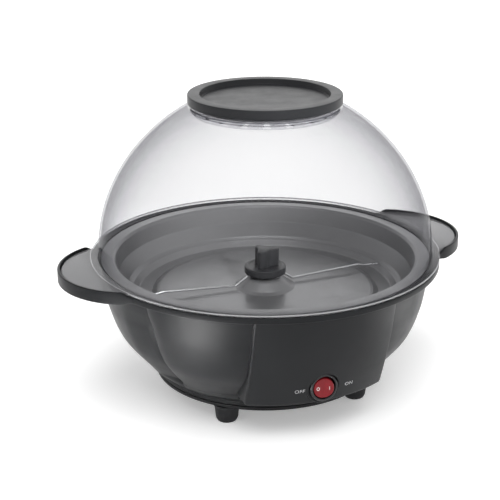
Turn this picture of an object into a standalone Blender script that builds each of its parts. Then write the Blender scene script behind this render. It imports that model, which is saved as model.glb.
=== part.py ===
"""Stirring popcorn maker: a lobed base with a heated pan, a motor-driven stirrer and a clear dome.

Frame: metres, +Z up, origin on the floor under the middle of the object.
-Y is the front, where the switch is, and the two handles lie on the X axis.
"""

import math

import bmesh
import bpy
from mathutils import Matrix, Vector

GAP = 0.0003

# Rim and handles
RIM_RADIUS = 0.150
BAND_BOTTOM = 0.1157
BAND_TOP = 0.1207
HANDLE_RADIUS = 0.0647
HANDLE_OFFSET = 0.11625
HANDLE_RISE = 0.0040
HANDLE_DROP = 0.0015
HANDLE_WALL = 0.0022
WALL_START = 0.0031
WALL_FULL = 0.0070
TAB_RADIUS = 0.0613
LEDGE_RADIUS = 0.1422
LEDGE_HEIGHT = 0.1190
LIP_OUTER = 0.1360
LIP_INNER = 0.1336
LIP_BOTTOM = 0.1100

# Base shell
SHELL_TOP = 0.1154
SHELL_BOTTOM = 0.0194
SHELL_RING_TOP = 0.0235
SHELL_WALL = 0.0025
SHELL_FLANGE_RADIUS = 0.0850
PETAL_CREASE = math.radians(62.0)
CREASE_FRONT = math.radians(6.0)
CREASE_SIDE = math.radians(18.0)
CREASE_DEPTH = 0.0050
CREASE_FADE = 0.0250
CREASE_TOP_SHARE = 0.55
CREASE_FOOT_FADE = 0.0100
PANEL_HALF_WIDTH = 0.0603
PANEL_TOP_RADIUS = 0.14475
PANEL_BOTTOM_RADIUS = 0.1225
PANEL_BOTTOM = 0.0333
PANEL_BULGE = 0.0022
PANEL_CORNER = 0.0030

# Bottom cover and feet
COVER_RADIUS = 0.0966
COVER_BOTTOM = 0.0160
COVER_TOP = 0.0191
COVER_FLOOR_TOP = 0.0180
COVER_RIM_INNER = 0.0800
COVER_SCREW_RADIUS = 0.0895
FOOT_CIRCLE = 0.0856
FOOT_ANGLE = math.radians(43.5)
FOOT_TOP_RADIUS = 0.0115
FOOT_BOTTOM_RADIUS = 0.0090

# Pan, heating plate and element
PAN_WALL = 0.0016
PAN_RIM = 0.1412
PAN_RIM_TOP = 0.1207
PLATE_TOP = 0.0870
PLATE_BOTTOM = 0.0815
PLATE_OUTER = 0.0880
PLATE_INNER = 0.0400
ELEMENT_RING = 0.0720
ELEMENT_TUBE = 0.0035
ELEMENT_HEIGHT = 0.0811
ELEMENT_GAP_ANGLE = math.radians(40.0)
SHIELD_RADIUS = 0.1000
SHIELD_HEIGHT = 0.0690

# Posts that carry the heat shield and the motor bracket
STUD_CIRCLE = 0.0550
STUD_ANGLES = [math.radians(a) for a in (90, 210, 330)]
STUD_SHOULDER = 0.0703
STUD_BOTTOM = 0.0555
BRACKET_TOP = 0.0600
BRACKET_BOTTOM = 0.0585

# Gear motor
MOTOR_Y = 0.0140
MOTOR_RADIUS = 0.0300
MOTOR_BOTTOM = 0.0290
MOTOR_TOP = 0.0582
MOTOR_LID = 0.0014
GEAR_PLATE_HEIGHT = 0.0470
TOOTH_MODULE = 0.001
GEAR_TEETH = 24
PINION_TEETH = 6
GEAR_CENTRES = 0.0152
IDLER_ANGLE = math.radians(150.0)
ROTOR_ANGLE = math.radians(30.0)
SHAFT_RADIUS = 0.0035
SHAFT_TOP = 0.1050

# Stirrer
HUB_DISC_RADIUS = 0.0179
HUB_DISC_BOTTOM = 0.1018
HUB_DISC_TOP = 0.1082
HUB_NECK_RADIUS = 0.0130
HUB_BOTTOM = 0.0990
KNOB_TOP = 0.1235
KNOB_TIP = 0.0120
ARM_RADIUS = 0.0010
ARM_SWEEP = math.radians(3.5)

# Dome and vent
DOME_FLANGE_BOTTOM = 0.1210
DOME_FLANGE_TOP = 0.1232
DOME_WALL = 0.0022
DOME_CENTRE = 0.1295
DOME_RADIUS = 0.1431
DOME_HEIGHT = 0.1377
DOME_POWER = 1.897
NECK_RADIUS = 0.0626
NECK_TOP = 0.2527
GRILLE_RADIUS = 0.0605
GRILLE_BOTTOM = 0.2440
GRILLE_SLOTS = 18
CAP_RADIUS = 0.0648
CAP_BOTTOM = 0.2530
CAP_TOP = 0.2607
CAP_RECESS_RADIUS = 0.0540
CAP_RECESS_DEPTH = 0.0045

# Switch and cord grommet, each set square to the front in a round boss of the leaning panel
SWITCH_HEIGHT = 0.0482
SWITCH_FACE = 0.1282
BEZEL_RADIUS = 0.0119
BARREL_RADIUS = 0.0103
WELL_RADIUS = 0.0096
ROCKER_RADIUS = 0.0085
ROCKER_TILT = math.radians(9.0)
BOSS_RADIUS = 0.0142
BOSS_DEPTH = 0.0085
BOSS_FLOOR = 0.0022
BOSS_CLEARANCE = 0.0007
BOSS_ROUND = 16
BEZEL_LIP = 0.0020
GROMMET_HEIGHT = 0.0482
GROMMET_RADIUS = 0.0085

ROUND = 36
SMALL_ROUND = 10


# --- scene and materials ------------------------------------------------------------------------

def clear_scene():
    for obj in list(bpy.data.objects):
        bpy.data.objects.remove(obj, do_unlink=True)


def make_material(name, colour, roughness, metallic=0.0, alpha=1.0):
    mat = bpy.data.materials.new(name)
    mat.use_nodes = True
    shader = mat.node_tree.nodes["Principled BSDF"]
    shader.inputs["Base Color"].default_value = (*colour, 1.0)
    shader.inputs["Roughness"].default_value = roughness
    shader.inputs["Metallic"].default_value = metallic
    shader.inputs["Alpha"].default_value = alpha
    return mat


def black_plastic(name):
    return make_material(name, (0.022, 0.022, 0.024), 0.5)


def charcoal_plastic(name):
    return make_material(name, (0.045, 0.046, 0.049), 0.38)


def clear_plastic(name):
    return make_material(name, (0.9, 0.9, 0.93), 0.08, alpha=0.3)


def steel(name):
    return make_material(name, (0.62, 0.62, 0.63), 0.35, metallic=1.0)


def brass(name):
    return make_material(name, (0.72, 0.55, 0.27), 0.35, metallic=1.0)


def aluminium(name):
    return make_material(name, (0.75, 0.75, 0.76), 0.45, metallic=1.0)


def white_plastic(name):
    return make_material(name, (0.8, 0.79, 0.76), 0.45)


# --- mesh building ------------------------------------------------------------------------------

def add_object(name, points, faces, mat):
    """One closed mesh object with its faces turned outwards."""
    mesh = bpy.data.meshes.new(name)
    mesh.from_pydata([tuple(p) for p in points], [], faces)
    work = bmesh.new()
    work.from_mesh(mesh)
    bmesh.ops.recalc_face_normals(work, faces=work.faces)
    work.to_mesh(mesh)
    work.free()
    mesh.shade_smooth()
    mesh.set_sharp_from_angle(angle=math.radians(35))
    mesh.materials.append(mat)
    obj = bpy.data.objects.new(name, mesh)
    bpy.context.scene.collection.objects.link(obj)
    return obj


def loop_solid(name, loops, mat, joined=False):
    """Skins equal-length loops in order; a joined stack is a tube that closes on itself."""
    count = len(loops[0])
    points = [p for loop in loops for p in loop]
    faces = []
    pairs = [(i, i + 1) for i in range(len(loops) - 1)]
    if joined:
        pairs.append((len(loops) - 1, 0))
    for low, high in pairs:
        for i in range(count):
            j = (i + 1) % count
            faces.append((low * count + i, low * count + j, high * count + j, high * count + i))
    if not joined:
        faces.append(tuple(range(count)))
        faces.append(tuple((len(loops) - 1) * count + i for i in range(count)))
    return add_object(name, points, faces, mat)


def turned(name, profile, mat, segments=ROUND, place=None):
    """Turns (radius, height) points about Z; a profile that starts and ends on the axis is solid."""
    points = []
    rings = []
    for radius, height in profile:
        steps = 1 if radius == 0 else segments
        rings.append([len(points) + i for i in range(steps)])
        for i in range(steps):
            angle = 2 * math.pi * i / segments
            points.append(Vector((radius * math.cos(angle), radius * math.sin(angle), height)))
    faces = []
    closes = profile[0][0] > 0
    count = len(profile) if closes else len(profile) - 1
    for k in range(count):
        low = rings[k]
        high = rings[(k + 1) % len(rings)]
        if len(low) == 1 and len(high) == 1:
            continue
        for i in range(segments):
            j = (i + 1) % segments
            corners = [low[i % len(low)], low[j % len(low)], high[j % len(high)], high[i % len(high)]]
            faces.append(tuple(dict.fromkeys(corners)))
    if place is not None:
        points = [place @ p for p in points]
    return add_object(name, points, faces, mat)


def prism(name, outline, low, high, mat, place=None):
    """Extrudes an (x, y) outline from one height to another."""
    loops = [[Vector((x, y, z)) for x, y in outline] for z in (low, high)]
    if place is not None:
        loops = [[place @ p for p in loop] for loop in loops]
    return loop_solid(name, loops, mat)


def box(name, centre, size, mat):
    x, y, z = centre
    half_x, half_y, half_z = (s / 2 for s in size)
    corners = ((-1, -1), (1, -1), (1, 1), (-1, 1))
    outline = [(x + half_x * a, y + half_y * b) for a, b in corners]
    return prism(name, outline, z - half_z, z + half_z, mat)


def circle(radius, count, centre=(0.0, 0.0), turn=0.0):
    angles = [turn + 2 * math.pi * i / count for i in range(count)]
    return [(centre[0] + radius * math.cos(a), centre[1] + radius * math.sin(a)) for a in angles]


def tube(name, route, radius, mat, resolution=2):
    """A round rod or wire along a hand-set route, as a curve with filled ends."""
    curve = bpy.data.curves.new(name, "CURVE")
    curve.dimensions = "3D"
    curve.bevel_depth = radius
    curve.bevel_resolution = resolution
    curve.use_fill_caps = True
    spline = curve.splines.new("POLY")
    spline.points.add(len(route) - 1)
    for point, place in zip(spline.points, route):
        point.co = (*place, 1.0)
    curve.materials.append(mat)
    obj = bpy.data.objects.new(name, curve)
    bpy.context.scene.collection.objects.link(obj)
    return obj


def smooth_route(points, steps):
    """Points along a Catmull-Rom curve through the given places."""
    places = [Vector(p) for p in points]
    places = [2 * places[0] - places[1]] + places + [2 * places[-1] - places[-2]]
    route = []
    for k in range(1, len(places) - 2):
        before, start, end, after = places[k - 1:k + 3]
        for i in range(steps):
            t = i / steps
            bend = 2 * before - 5 * start + 4 * end - after
            twist = 3 * (start - end) + after - before
            route.append(0.5 * (2 * start + (end - before) * t + bend * t * t + twist * t ** 3))
    route.append(places[-2])
    return route


def boolean(obj, other, operation):
    other.hide_render = True
    other.display_type = "WIRE"
    step = obj.modifiers.new(other.name, "BOOLEAN")
    step.operation = operation
    step.solver = "EXACT"
    step.object = other


def drill(obj, name, radius, low, high, centre=(0.0, 0.0)):
    """Cuts a hole along Z whose flats clear a round pin of this radius."""
    corner = radius / math.cos(math.pi / SMALL_ROUND)
    cutter = prism(name, circle(corner, SMALL_ROUND, centre, 0.2), low, high, obj.data.materials[0])
    boolean(obj, cutter, "DIFFERENCE")


def facing_front(height, side=-1.0):
    """Carries +Z to the front (side -1) or to the rear (side +1), at a height above the floor."""
    return Matrix.Translation((0, 0, height)) @ Matrix.Rotation(-side * math.pi / 2, 4, "X")


# --- rim, handles and dome share one set of directions ------------------------------------------

def handle_angle(reach):
    """Direction, from +X, in which a handle's outer edge is this far from the middle."""
    cosine = (reach ** 2 + HANDLE_OFFSET ** 2 - HANDLE_RADIUS ** 2) / (2 * reach * HANDLE_OFFSET)
    return math.acos(cosine)


def rim_directions():
    """Angles from +X: close together over the handles, wider apart between them."""
    wall_up = handle_angle(RIM_RADIUS + WALL_FULL)
    near = [wall_up * i / 4 for i in range(5)] + [handle_angle(RIM_RADIUS + WALL_START)]
    joint = handle_angle(RIM_RADIUS)
    far = [joint + (math.pi / 2 - joint) * i / 7 for i in range(8)]
    quarter = near + far
    half = quarter + [math.pi - a for a in reversed(quarter[:-1])]
    return half + [2 * math.pi - a for a in reversed(half[1:-1])]


def handle_reach(angle, radius):
    """Distance from the middle to a handle's round end, or zero where the ray misses it."""
    across = HANDLE_OFFSET * math.sin(angle)
    if abs(across) > radius:
        return 0.0
    return abs(HANDLE_OFFSET * math.cos(angle)) + math.sqrt(radius ** 2 - across ** 2)


def rim_outline(radius):
    return [max(RIM_RADIUS, handle_reach(a, radius)) for a in rim_directions()]


def ring_at(radii, heights):
    angles = rim_directions()
    return [Vector((r * math.cos(a), r * math.sin(a), z)) for a, r, z in zip(angles, radii, heights)]


def level_ring(radius, height):
    count = len(rim_directions())
    return ring_at([radius] * count, [height] * count)


def make_top_ring():
    """Band under the dome's flange, with a walled tray at each side as a handle."""
    outline = rim_outline(HANDLE_RADIUS)
    share = [min(1.0, max(0.0, (r - RIM_RADIUS - WALL_START) / (WALL_FULL - WALL_START))) for r in outline]
    inside = [r - HANDLE_WALL for r in outline]
    count = len(outline)
    top = [BAND_TOP + HANDLE_RISE * s for s in share]
    bottom = [BAND_BOTTOM - HANDLE_DROP * s for s in share]
    under = [BAND_BOTTOM + 0.0025 * s for s in share]
    loops = [
        ring_at(outline, bottom),
        ring_at(outline, top),
        ring_at(inside, top),
        ring_at([r - 0.0001 for r in inside], [BAND_TOP] * count),
        level_ring(LEDGE_RADIUS, BAND_TOP),
        level_ring(LEDGE_RADIUS, LEDGE_HEIGHT),
        level_ring(LIP_INNER, LEDGE_HEIGHT),
        level_ring(LIP_INNER, LIP_BOTTOM),
        level_ring(LIP_OUTER, LIP_BOTTOM),
        level_ring(LIP_OUTER, BAND_BOTTOM),
        level_ring(0.1455, BAND_BOTTOM),
        ring_at([0.1457] * count, under),
        ring_at(inside, under),
        ring_at([r + 0.0001 for r in inside], bottom),
    ]
    return loop_solid("top_ring", loops, charcoal_plastic("ring_plastic"), joined=True)


def dome_radius(height, offset):
    """Outer dome radius at a height, less an offset for its inner face."""
    rise = max(0.0, height - DOME_CENTRE) / (DOME_HEIGHT - offset)
    return (DOME_RADIUS - offset) * (1 - rise ** DOME_POWER) ** (1 / DOME_POWER)


def make_dome():
    outline = rim_outline(TAB_RADIUS)
    count = len(outline)
    heights = [0.133, 0.157, 0.180, 0.201, 0.219, 0.234, 0.244]
    mouth = NECK_RADIUS - 0.0018
    loops = [
        ring_at(outline, [DOME_FLANGE_BOTTOM] * count),
        ring_at(outline, [DOME_FLANGE_TOP] * count),
        level_ring(DOME_RADIUS + 0.0004, DOME_FLANGE_TOP),
    ]
    loops += [level_ring(dome_radius(z, 0), z) for z in heights]
    loops += [
        level_ring(NECK_RADIUS, 0.2505),
        level_ring(NECK_RADIUS, NECK_TOP),
        level_ring(mouth, NECK_TOP),
        level_ring(mouth, 0.2484),
    ]
    loops += [level_ring(dome_radius(z, DOME_WALL), z) for z in reversed(heights)]
    loops += [level_ring(DOME_RADIUS - DOME_WALL, DOME_FLANGE_BOTTOM)]
    return loop_solid("dome_cover", loops, clear_plastic("dome_plastic"), joined=True)


def make_vent_grille():
    """Cup that hangs in the dome's neck, its floor slotted so that steam gets out."""
    floor_top = GRILLE_BOTTOM + 0.0018
    lip = NECK_TOP + GAP
    inner = GRILLE_RADIUS - 0.0018
    profile = [
        (0, GRILLE_BOTTOM), (GRILLE_RADIUS, GRILLE_BOTTOM), (GRILLE_RADIUS, lip), (NECK_RADIUS - 0.0001, lip),
        (NECK_RADIUS - 0.0001, lip + 0.0010), (inner, lip + 0.0010), (inner, floor_top), (0, floor_top),
    ]
    grille = turned("vent_grille", profile, clear_plastic("grille_plastic"), segments=36)
    for i in range(GRILLE_SLOTS):
        turn = Matrix.Rotation(2 * math.pi * (i + 0.5) / GRILLE_SLOTS, 4, "Z")
        outline = [(0.030, -0.0016), (0.055, -0.0032), (0.055, 0.0032), (0.030, 0.0016)]
        below = GRILLE_BOTTOM - 0.001
        slot = prism(f"cut_vent_{i}", outline, below, floor_top + 0.001, grille.data.materials[0], turn)
        boolean(grille, slot, "DIFFERENCE")
    return grille


def make_vent_cap():
    floor_top = CAP_TOP - CAP_RECESS_DEPTH
    floor_bottom = floor_top - 0.0018
    shoulder = NECK_TOP + 2 * GAP + 0.0010
    bore = NECK_RADIUS + 2 * GAP
    profile = [
        (0, floor_top), (CAP_RECESS_RADIUS, floor_top), (CAP_RECESS_RADIUS + 0.0006, CAP_TOP - 0.0005),
        (CAP_RECESS_RADIUS + 0.0012, CAP_TOP), (CAP_RADIUS - 0.0010, CAP_TOP), (CAP_RADIUS, CAP_TOP - 0.0010),
        (CAP_RADIUS, CAP_BOTTOM), (bore, CAP_BOTTOM), (bore, shoulder), (0.0577, shoulder), (0.0575, 0.2495),
        (0.0555, 0.2495), (0.0553, floor_bottom), (0, floor_bottom),
    ]
    return turned("vent_cap", profile, charcoal_plastic("cap_plastic"))


# --- base shell ---------------------------------------------------------------------------------

def petal_radius(height):
    """Bowl outline of the petals, from the rim down to the upright ring at the bottom."""
    points = [
        (SHELL_RING_TOP, 0.0967), (0.0290, 0.1040), (0.0350, 0.1090), (0.0450, 0.1177), (0.0560, 0.1262),
        (0.0670, 0.1318), (0.0780, 0.1357), (0.0890, 0.1387), (0.1154, 0.1425),
    ]
    for (low, low_radius), (high, high_radius) in zip(points, points[1:]):
        if height <= high:
            return low_radius + (high_radius - low_radius) * max(0.0, height - low) / (high - low)
    return points[-1][1]


def panel_radius(height):
    """Front face of the switch panel, leaning in towards the bottom with a slight bulge."""
    share = (height - PANEL_BOTTOM) / (SHELL_TOP - PANEL_BOTTOM)
    lean = PANEL_BOTTOM_RADIUS + (PANEL_TOP_RADIUS - PANEL_BOTTOM_RADIUS) * share
    return lean + PANEL_BULGE * math.sin(math.pi * share)


def panel_half_width(height):
    """The panel is straight-sided, with its two lower corners rounded."""
    short = PANEL_CORNER - min(PANEL_CORNER, height - PANEL_BOTTOM)
    return PANEL_HALF_WIDTH - (PANEL_CORNER - math.sqrt(PANEL_CORNER ** 2 - short ** 2))


def crease(angle, height):
    """Depth of the groove between two petals, steep towards the front; angles are from the front."""
    past = angle - PETAL_CREASE
    width = CREASE_SIDE if past > 0 else CREASE_FRONT
    share = max(0.0, 1.0 - abs(past) / width)
    fade = min(1.0, max(CREASE_TOP_SHARE, (SHELL_TOP - height) / CREASE_FADE))
    fade *= min(1.0, max(0.0, height - SHELL_RING_TOP) / CREASE_FOOT_FADE)
    return CREASE_DEPTH * fade * share ** 1.3


def shell_quarter(height, wall, with_panel):
    """Points (x, y) from the middle of the front panel round to the side, less a wall thickness."""
    bowl = petal_radius(height) - wall
    half = (panel_half_width(height) if with_panel else PANEL_HALF_WIDTH - PANEL_CORNER) - wall
    face = panel_radius(height) - wall if with_panel else bowl
    points = []
    for i in range(5):
        x = half * i / 4
        points.append((x, -math.sqrt(face ** 2 - x ** 2)))
    points.append((half, -math.sqrt(bowl ** 2 - half ** 2)))
    start = math.asin(half / bowl)
    stops = [start + (PETAL_CREASE - start) * s for s in (0.28, 0.56, 0.84, 1.0)]
    stops += [PETAL_CREASE + (math.pi / 2 - PETAL_CREASE) * s for s in (0.33, 0.66, 1.0)]
    for angle in stops:
        radius = bowl - crease(angle, height)
        points.append((radius * math.sin(angle), -radius * math.cos(angle)))
    return points


def shell_loop(height, wall=0.0, with_panel=True):
    quarter = shell_quarter(height, wall, with_panel)
    right = quarter + [(x, -y) for x, y in reversed(quarter[:-1])]
    around = right + [(-x, y) for x, y in reversed(right[1:-1])]
    return [Vector((x, y, height)) for x, y in around]


def make_base_shell():
    """Lobed bowl with a straight-sided panel at the front and rear, open above and below."""
    upper = [SHELL_TOP, 0.092, 0.072, 0.052, 0.0402, 0.0340, PANEL_BOTTOM + 0.0006]
    lower = [PANEL_BOTTOM, SHELL_RING_TOP, SHELL_BOTTOM]
    floor = SHELL_BOTTOM + SHELL_WALL
    loops = [shell_loop(z) for z in upper]
    loops += [shell_loop(z, with_panel=False) for z in lower]
    flange = [Vector((p.x, p.y, 0)).normalized() * SHELL_FLANGE_RADIUS for p in loops[-1]]
    loops.append([Vector((p.x, p.y, SHELL_BOTTOM)) for p in flange])
    loops.append([Vector((p.x, p.y, floor)) for p in flange])
    inside = (floor, SHELL_RING_TOP + SHELL_WALL / 2, PANEL_BOTTOM + SHELL_WALL)
    loops += [shell_loop(z, SHELL_WALL, with_panel=False) for z in inside]
    for z in (PANEL_BOTTOM + SHELL_WALL + 0.0006, 0.052, 0.080, SHELL_TOP):
        loops.append(shell_loop(z, SHELL_WALL))
    shell = loop_solid("base_shell", loops, charcoal_plastic("shell_plastic"), joined=True)
    add_panel_boss(shell, "switch", facing_front(SWITCH_HEIGHT), BARREL_RADIUS + GAP)
    add_panel_boss(shell, "cord", facing_front(GROMMET_HEIGHT, 1.0), GROMMET_RADIUS + GAP)
    for i in range(4):
        angle = math.pi / 2 * i
        centre = (COVER_SCREW_RADIUS * math.cos(angle), COVER_SCREW_RADIUS * math.sin(angle))
        drill(shell, f"cut_shell_screw_{i}", 0.0019, SHELL_BOTTOM - 0.001, floor + 0.001, centre)
    return shell


def add_panel_boss(shell, name, place, hole):
    """Round boss in a hole in the panel: its face is sunk above and stands out of the panel below."""
    plastic = shell.data.materials[0]
    face = SWITCH_FACE - BEZEL_LIP
    recess = BEZEL_RADIUS + BOSS_CLEARANCE
    middle = place.translation.z
    upward = (place.to_3x3() @ Vector((0, 1, 0))).z

    def level(radius, depth):
        return [place @ Vector((x, y, depth)) for x, y in circle(radius, BOSS_ROUND, turn=0.1)]

    def rim(radius):
        """Follows the panel's outer face a little below it, but never drops behind the boss's face."""
        points = []
        for x, y in circle(radius, BOSS_ROUND, turn=0.1):
            height = middle + upward * y
            panel = math.sqrt(panel_radius(height) ** 2 - x ** 2) - SHELL_WALL / 2
            points.append(place @ Vector((x, y, max(face, panel))))
        return points

    seat = circle((BOSS_RADIUS + recess) / 2, BOSS_ROUND, turn=0.2)
    cutter = prism(f"cut_{name}_seat", seat, 0.090, 0.160, plastic, place)
    loops = [
        level(BOSS_RADIUS, face - BOSS_DEPTH), rim(BOSS_RADIUS), rim(recess), level(recess, face),
        level(hole + 0.0002, face), level(hole + 0.0002, face - BOSS_FLOOR), level(recess, face - BOSS_FLOOR),
        level(recess, face - BOSS_DEPTH),
    ]
    boss = loop_solid(f"add_{name}_boss", loops, plastic, joined=True)
    boolean(shell, cutter, "DIFFERENCE")
    boolean(shell, boss, "UNION")


def make_bottom_cover():
    profile = [
        (0, COVER_BOTTOM), (COVER_RADIUS - 0.0012, COVER_BOTTOM), (COVER_RADIUS, COVER_BOTTOM + 0.0010),
        (COVER_RADIUS, COVER_TOP), (COVER_RIM_INNER, COVER_TOP), (COVER_RIM_INNER, COVER_FLOOR_TOP),
        (0, COVER_FLOOR_TOP),
    ]
    cover = turned("bottom_cover", profile, black_plastic("cover_plastic"))
    for i in range(4):
        angle = math.pi / 2 * i
        centre = (COVER_SCREW_RADIUS * math.cos(angle), COVER_SCREW_RADIUS * math.sin(angle))
        drill(cover, f"cut_cover_screw_{i}", 0.0019, 0.010, 0.022, centre)
        drill(cover, f"cut_cover_head_{i}", 0.0036, 0.010, COVER_BOTTOM + 0.0016, centre)
    for i, centre in enumerate(foot_places()):
        drill(cover, f"cut_cover_foot_{i}", 0.0019, 0.010, 0.0178, centre)
    for i in range(6):
        turn = Matrix.Rotation(math.pi / 3 * (i + 0.4), 4, "Z")
        outline = [(0.045, -0.002), (0.068, -0.002), (0.068, 0.002), (0.045, 0.002)]
        slot = prism(f"cut_cover_vent_{i}", outline, 0.010, 0.0185, cover.data.materials[0], turn)
        boolean(cover, slot, "DIFFERENCE")
    return cover


def foot_places():
    """Front left, front right, rear right, rear left."""
    x = FOOT_CIRCLE * math.sin(FOOT_ANGLE)
    y = FOOT_CIRCLE * math.cos(FOOT_ANGLE)
    return [(-x, -y), (x, -y), (x, y), (-x, y)]


def make_feet():
    top = COVER_BOTTOM - GAP
    for i, (x, y) in enumerate(foot_places()):
        profile = [
            (0.0040, 0), (FOOT_BOTTOM_RADIUS - 0.0012, 0), (FOOT_BOTTOM_RADIUS, 0.0014),
            (FOOT_TOP_RADIUS, top), (0.0019, top), (0.0019, 0.0060), (0.0040, 0.0060),
        ]
        rubber = make_material(f"foot_rubber_{i + 1}", (0.018, 0.018, 0.019), 0.7)
        turned(f"foot_{i + 1}", profile, rubber, 14, Matrix.Translation((x, y, 0)))
        make_screw(f"foot_screw_{i + 1}", x, y, 0.0036, 0.0173, 0.0034)


def make_screw(name, x, y, bottom, top, head):
    """Upright screw with its head below."""
    shank = 0.0016
    seat = bottom + 0.0021
    profile = [(0, bottom), (head, bottom), (head, seat), (shank, seat), (shank, top), (0, top)]
    turned(name, profile, steel(name + "_steel"), 8, Matrix.Translation((x, y, 0)))


def make_cover_screws():
    for i in range(4):
        angle = math.pi / 2 * i
        x = COVER_SCREW_RADIUS * math.cos(angle)
        y = COVER_SCREW_RADIUS * math.sin(angle)
        make_screw(f"cover_screw_{i + 1}", x, y, COVER_BOTTOM - 0.0008, 0.0240, 0.0032)


# --- pan and heater -----------------------------------------------------------------------------

def make_pan():
    """Pressed pan: flat rim, two-step wall, ridge, groove, raised disc and a cone round the shaft."""
    top = [
        (PAN_RIM, PAN_RIM_TOP - 0.0002), (0.1310, PAN_RIM_TOP), (0.1290, 0.1196), (0.1268, 0.1052),
        (0.1190, 0.0935), (0.1165, 0.0920), (0.1140, 0.0900), (0.1100, 0.0864), (0.0985, 0.0862),
        (0.0940, 0.0888), (0.0920, 0.0893), (0.0260, 0.0893), (0.0230, 0.0910), (0.0140, 0.0985),
        (0.0084, 0.0987),
    ]
    under = [
        (0.0084, 0.0971), (0.0133, 0.0969), (0.0221, 0.0896), (0.0256, 0.0877), (0.0915, 0.0877),
        (0.0932, 0.0873), (0.0980, 0.0846), (0.1106, 0.0848), (0.1160, 0.0895), (0.1178, 0.0905),
        (0.1200, 0.0921), (0.1284, 0.1047), (0.1306, 0.1182), (0.1316, PAN_RIM_TOP - PAN_WALL),
        (PAN_RIM, PAN_RIM_TOP - PAN_WALL + 0.0002),
    ]
    coated = make_material("pan_coating", (0.085, 0.086, 0.088), 0.42, metallic=0.6)
    return turned("popping_pan", top + under, coated)


def make_heating_plate():
    """Cast ring under the pan's disc, with a groove below for the tubular element."""
    inner = ELEMENT_RING - ELEMENT_TUBE - 0.0004
    outer = ELEMENT_RING + ELEMENT_TUBE + 0.0004
    ceiling = ELEMENT_HEIGHT + ELEMENT_TUBE + 0.0004
    profile = [
        (PLATE_INNER, PLATE_TOP), (PLATE_OUTER, PLATE_TOP), (PLATE_OUTER, PLATE_BOTTOM),
        (outer, PLATE_BOTTOM), (outer - 0.0006, ceiling), (inner + 0.0006, ceiling),
        (inner, PLATE_BOTTOM), (PLATE_INNER, PLATE_BOTTOM),
    ]
    turned("heating_plate", profile, aluminium("cast_aluminium"))


def make_heating_element():
    """Tube bent into an open ring, its two cold ends turned down at the rear."""
    start = math.pi / 2 + ELEMENT_GAP_ANGLE / 2
    sweep = 2 * math.pi - ELEMENT_GAP_ANGLE
    route = []
    for i in range(25):
        angle = start + sweep * i / 24
        route.append(Vector((ELEMENT_RING * math.cos(angle), ELEMENT_RING * math.sin(angle), ELEMENT_HEIGHT)))
    first = route[0] + Vector((0.0045, 0.0013, -0.0022))
    last = route[-1] + Vector((-0.0045, 0.0013, -0.0022))
    start_down = first + Vector((0.0012, 0, -0.0066))
    end_down = last + Vector((-0.0012, 0, -0.0066))
    route = [start_down, first] + route + [last, end_down]
    sheath = make_material("element_sheath", (0.30, 0.29, 0.28), 0.4, metallic=1.0)
    return tube("heating_element", route, ELEMENT_TUBE, sheath, resolution=1)


def make_element_clamps():
    """Flat straps across the element ring that hold it up in its groove."""
    top = ELEMENT_HEIGHT - ELEMENT_TUBE - GAP
    for i, degrees in enumerate((0, 180, 270)):
        turn = Matrix.Rotation(math.radians(degrees), 4, "Z")
        outline = [(0.060, -0.005), (0.084, -0.005), (0.084, 0.005), (0.060, 0.005)]
        strap = steel(f"clamp_steel_{i + 1}")
        clamp = prism(f"element_clamp_{i + 1}", outline, top - 0.0012, top, strap, turn)
        for name, x in (("inner", 0.0632), ("outer", 0.0808)):
            foot = prism(
                f"add_clamp_{name}_{i}", circle(0.0022, 8, (x, 0)), top - 0.0004, PLATE_BOTTOM - GAP,
                clamp.data.materials[0], turn,
            )
            boolean(clamp, foot, "UNION")


def make_thermostat():
    """Disc thermostat against the underside of the heating plate, with two blade terminals."""
    place = Matrix.Translation((0, -0.0515, 0))
    top = PLATE_BOTTOM - GAP
    profile = [(0, 0.0745), (0.0070, 0.0745), (0.0085, 0.0770), (0.0085, top), (0, top)]
    thermostat = turned("thermostat", profile, black_plastic("thermostat_body"), 16, place)
    blade = box("add_thermostat_blades", (0, -0.0515, 0.0758), (0.026, 0.004, 0.0008), steel("blade_steel"))
    boolean(thermostat, blade, "UNION")


def make_thermal_fuse():
    profile = [(0, -0.0090), (0.0010, -0.0090), (0.0010, -0.0060), (0.0022, -0.0055), (0.0022, 0.0060),
               (0.0010, 0.0065), (0.0010, 0.0120), (0, 0.0120)]
    place = Matrix.Translation((0.0515, 0, 0.0785)) @ Matrix.Rotation(math.pi / 2, 4, "X")
    turned("thermal_fuse", profile, white_plastic("fuse_sleeve"), 10, place)


def make_heat_shield():
    """Dished sheet between the hot plate and the motor."""
    top = SHIELD_HEIGHT + 0.0010
    profile = [
        (0.0080, SHIELD_HEIGHT), (0.0975, SHIELD_HEIGHT), (SHIELD_RADIUS, 0.0715), (SHIELD_RADIUS, 0.0760),
        (SHIELD_RADIUS - 0.0010, 0.0760), (SHIELD_RADIUS - 0.0010, 0.0719), (0.0971, top), (0.0080, top),
    ]
    shield = turned("heat_shield", profile, aluminium("shield_aluminium"), segments=32)
    for i, angle in enumerate(STUD_ANGLES):
        centre = (STUD_CIRCLE * math.cos(angle), STUD_CIRCLE * math.sin(angle))
        drill(shield, f"cut_shield_stud_{i}", 0.0025, 0.066, 0.074, centre)
    for i, x in enumerate((-0.019, 0.019)):
        drill(shield, f"cut_shield_wire_{i}", 0.0050, 0.066, 0.074, (x, 0.0690))


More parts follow.
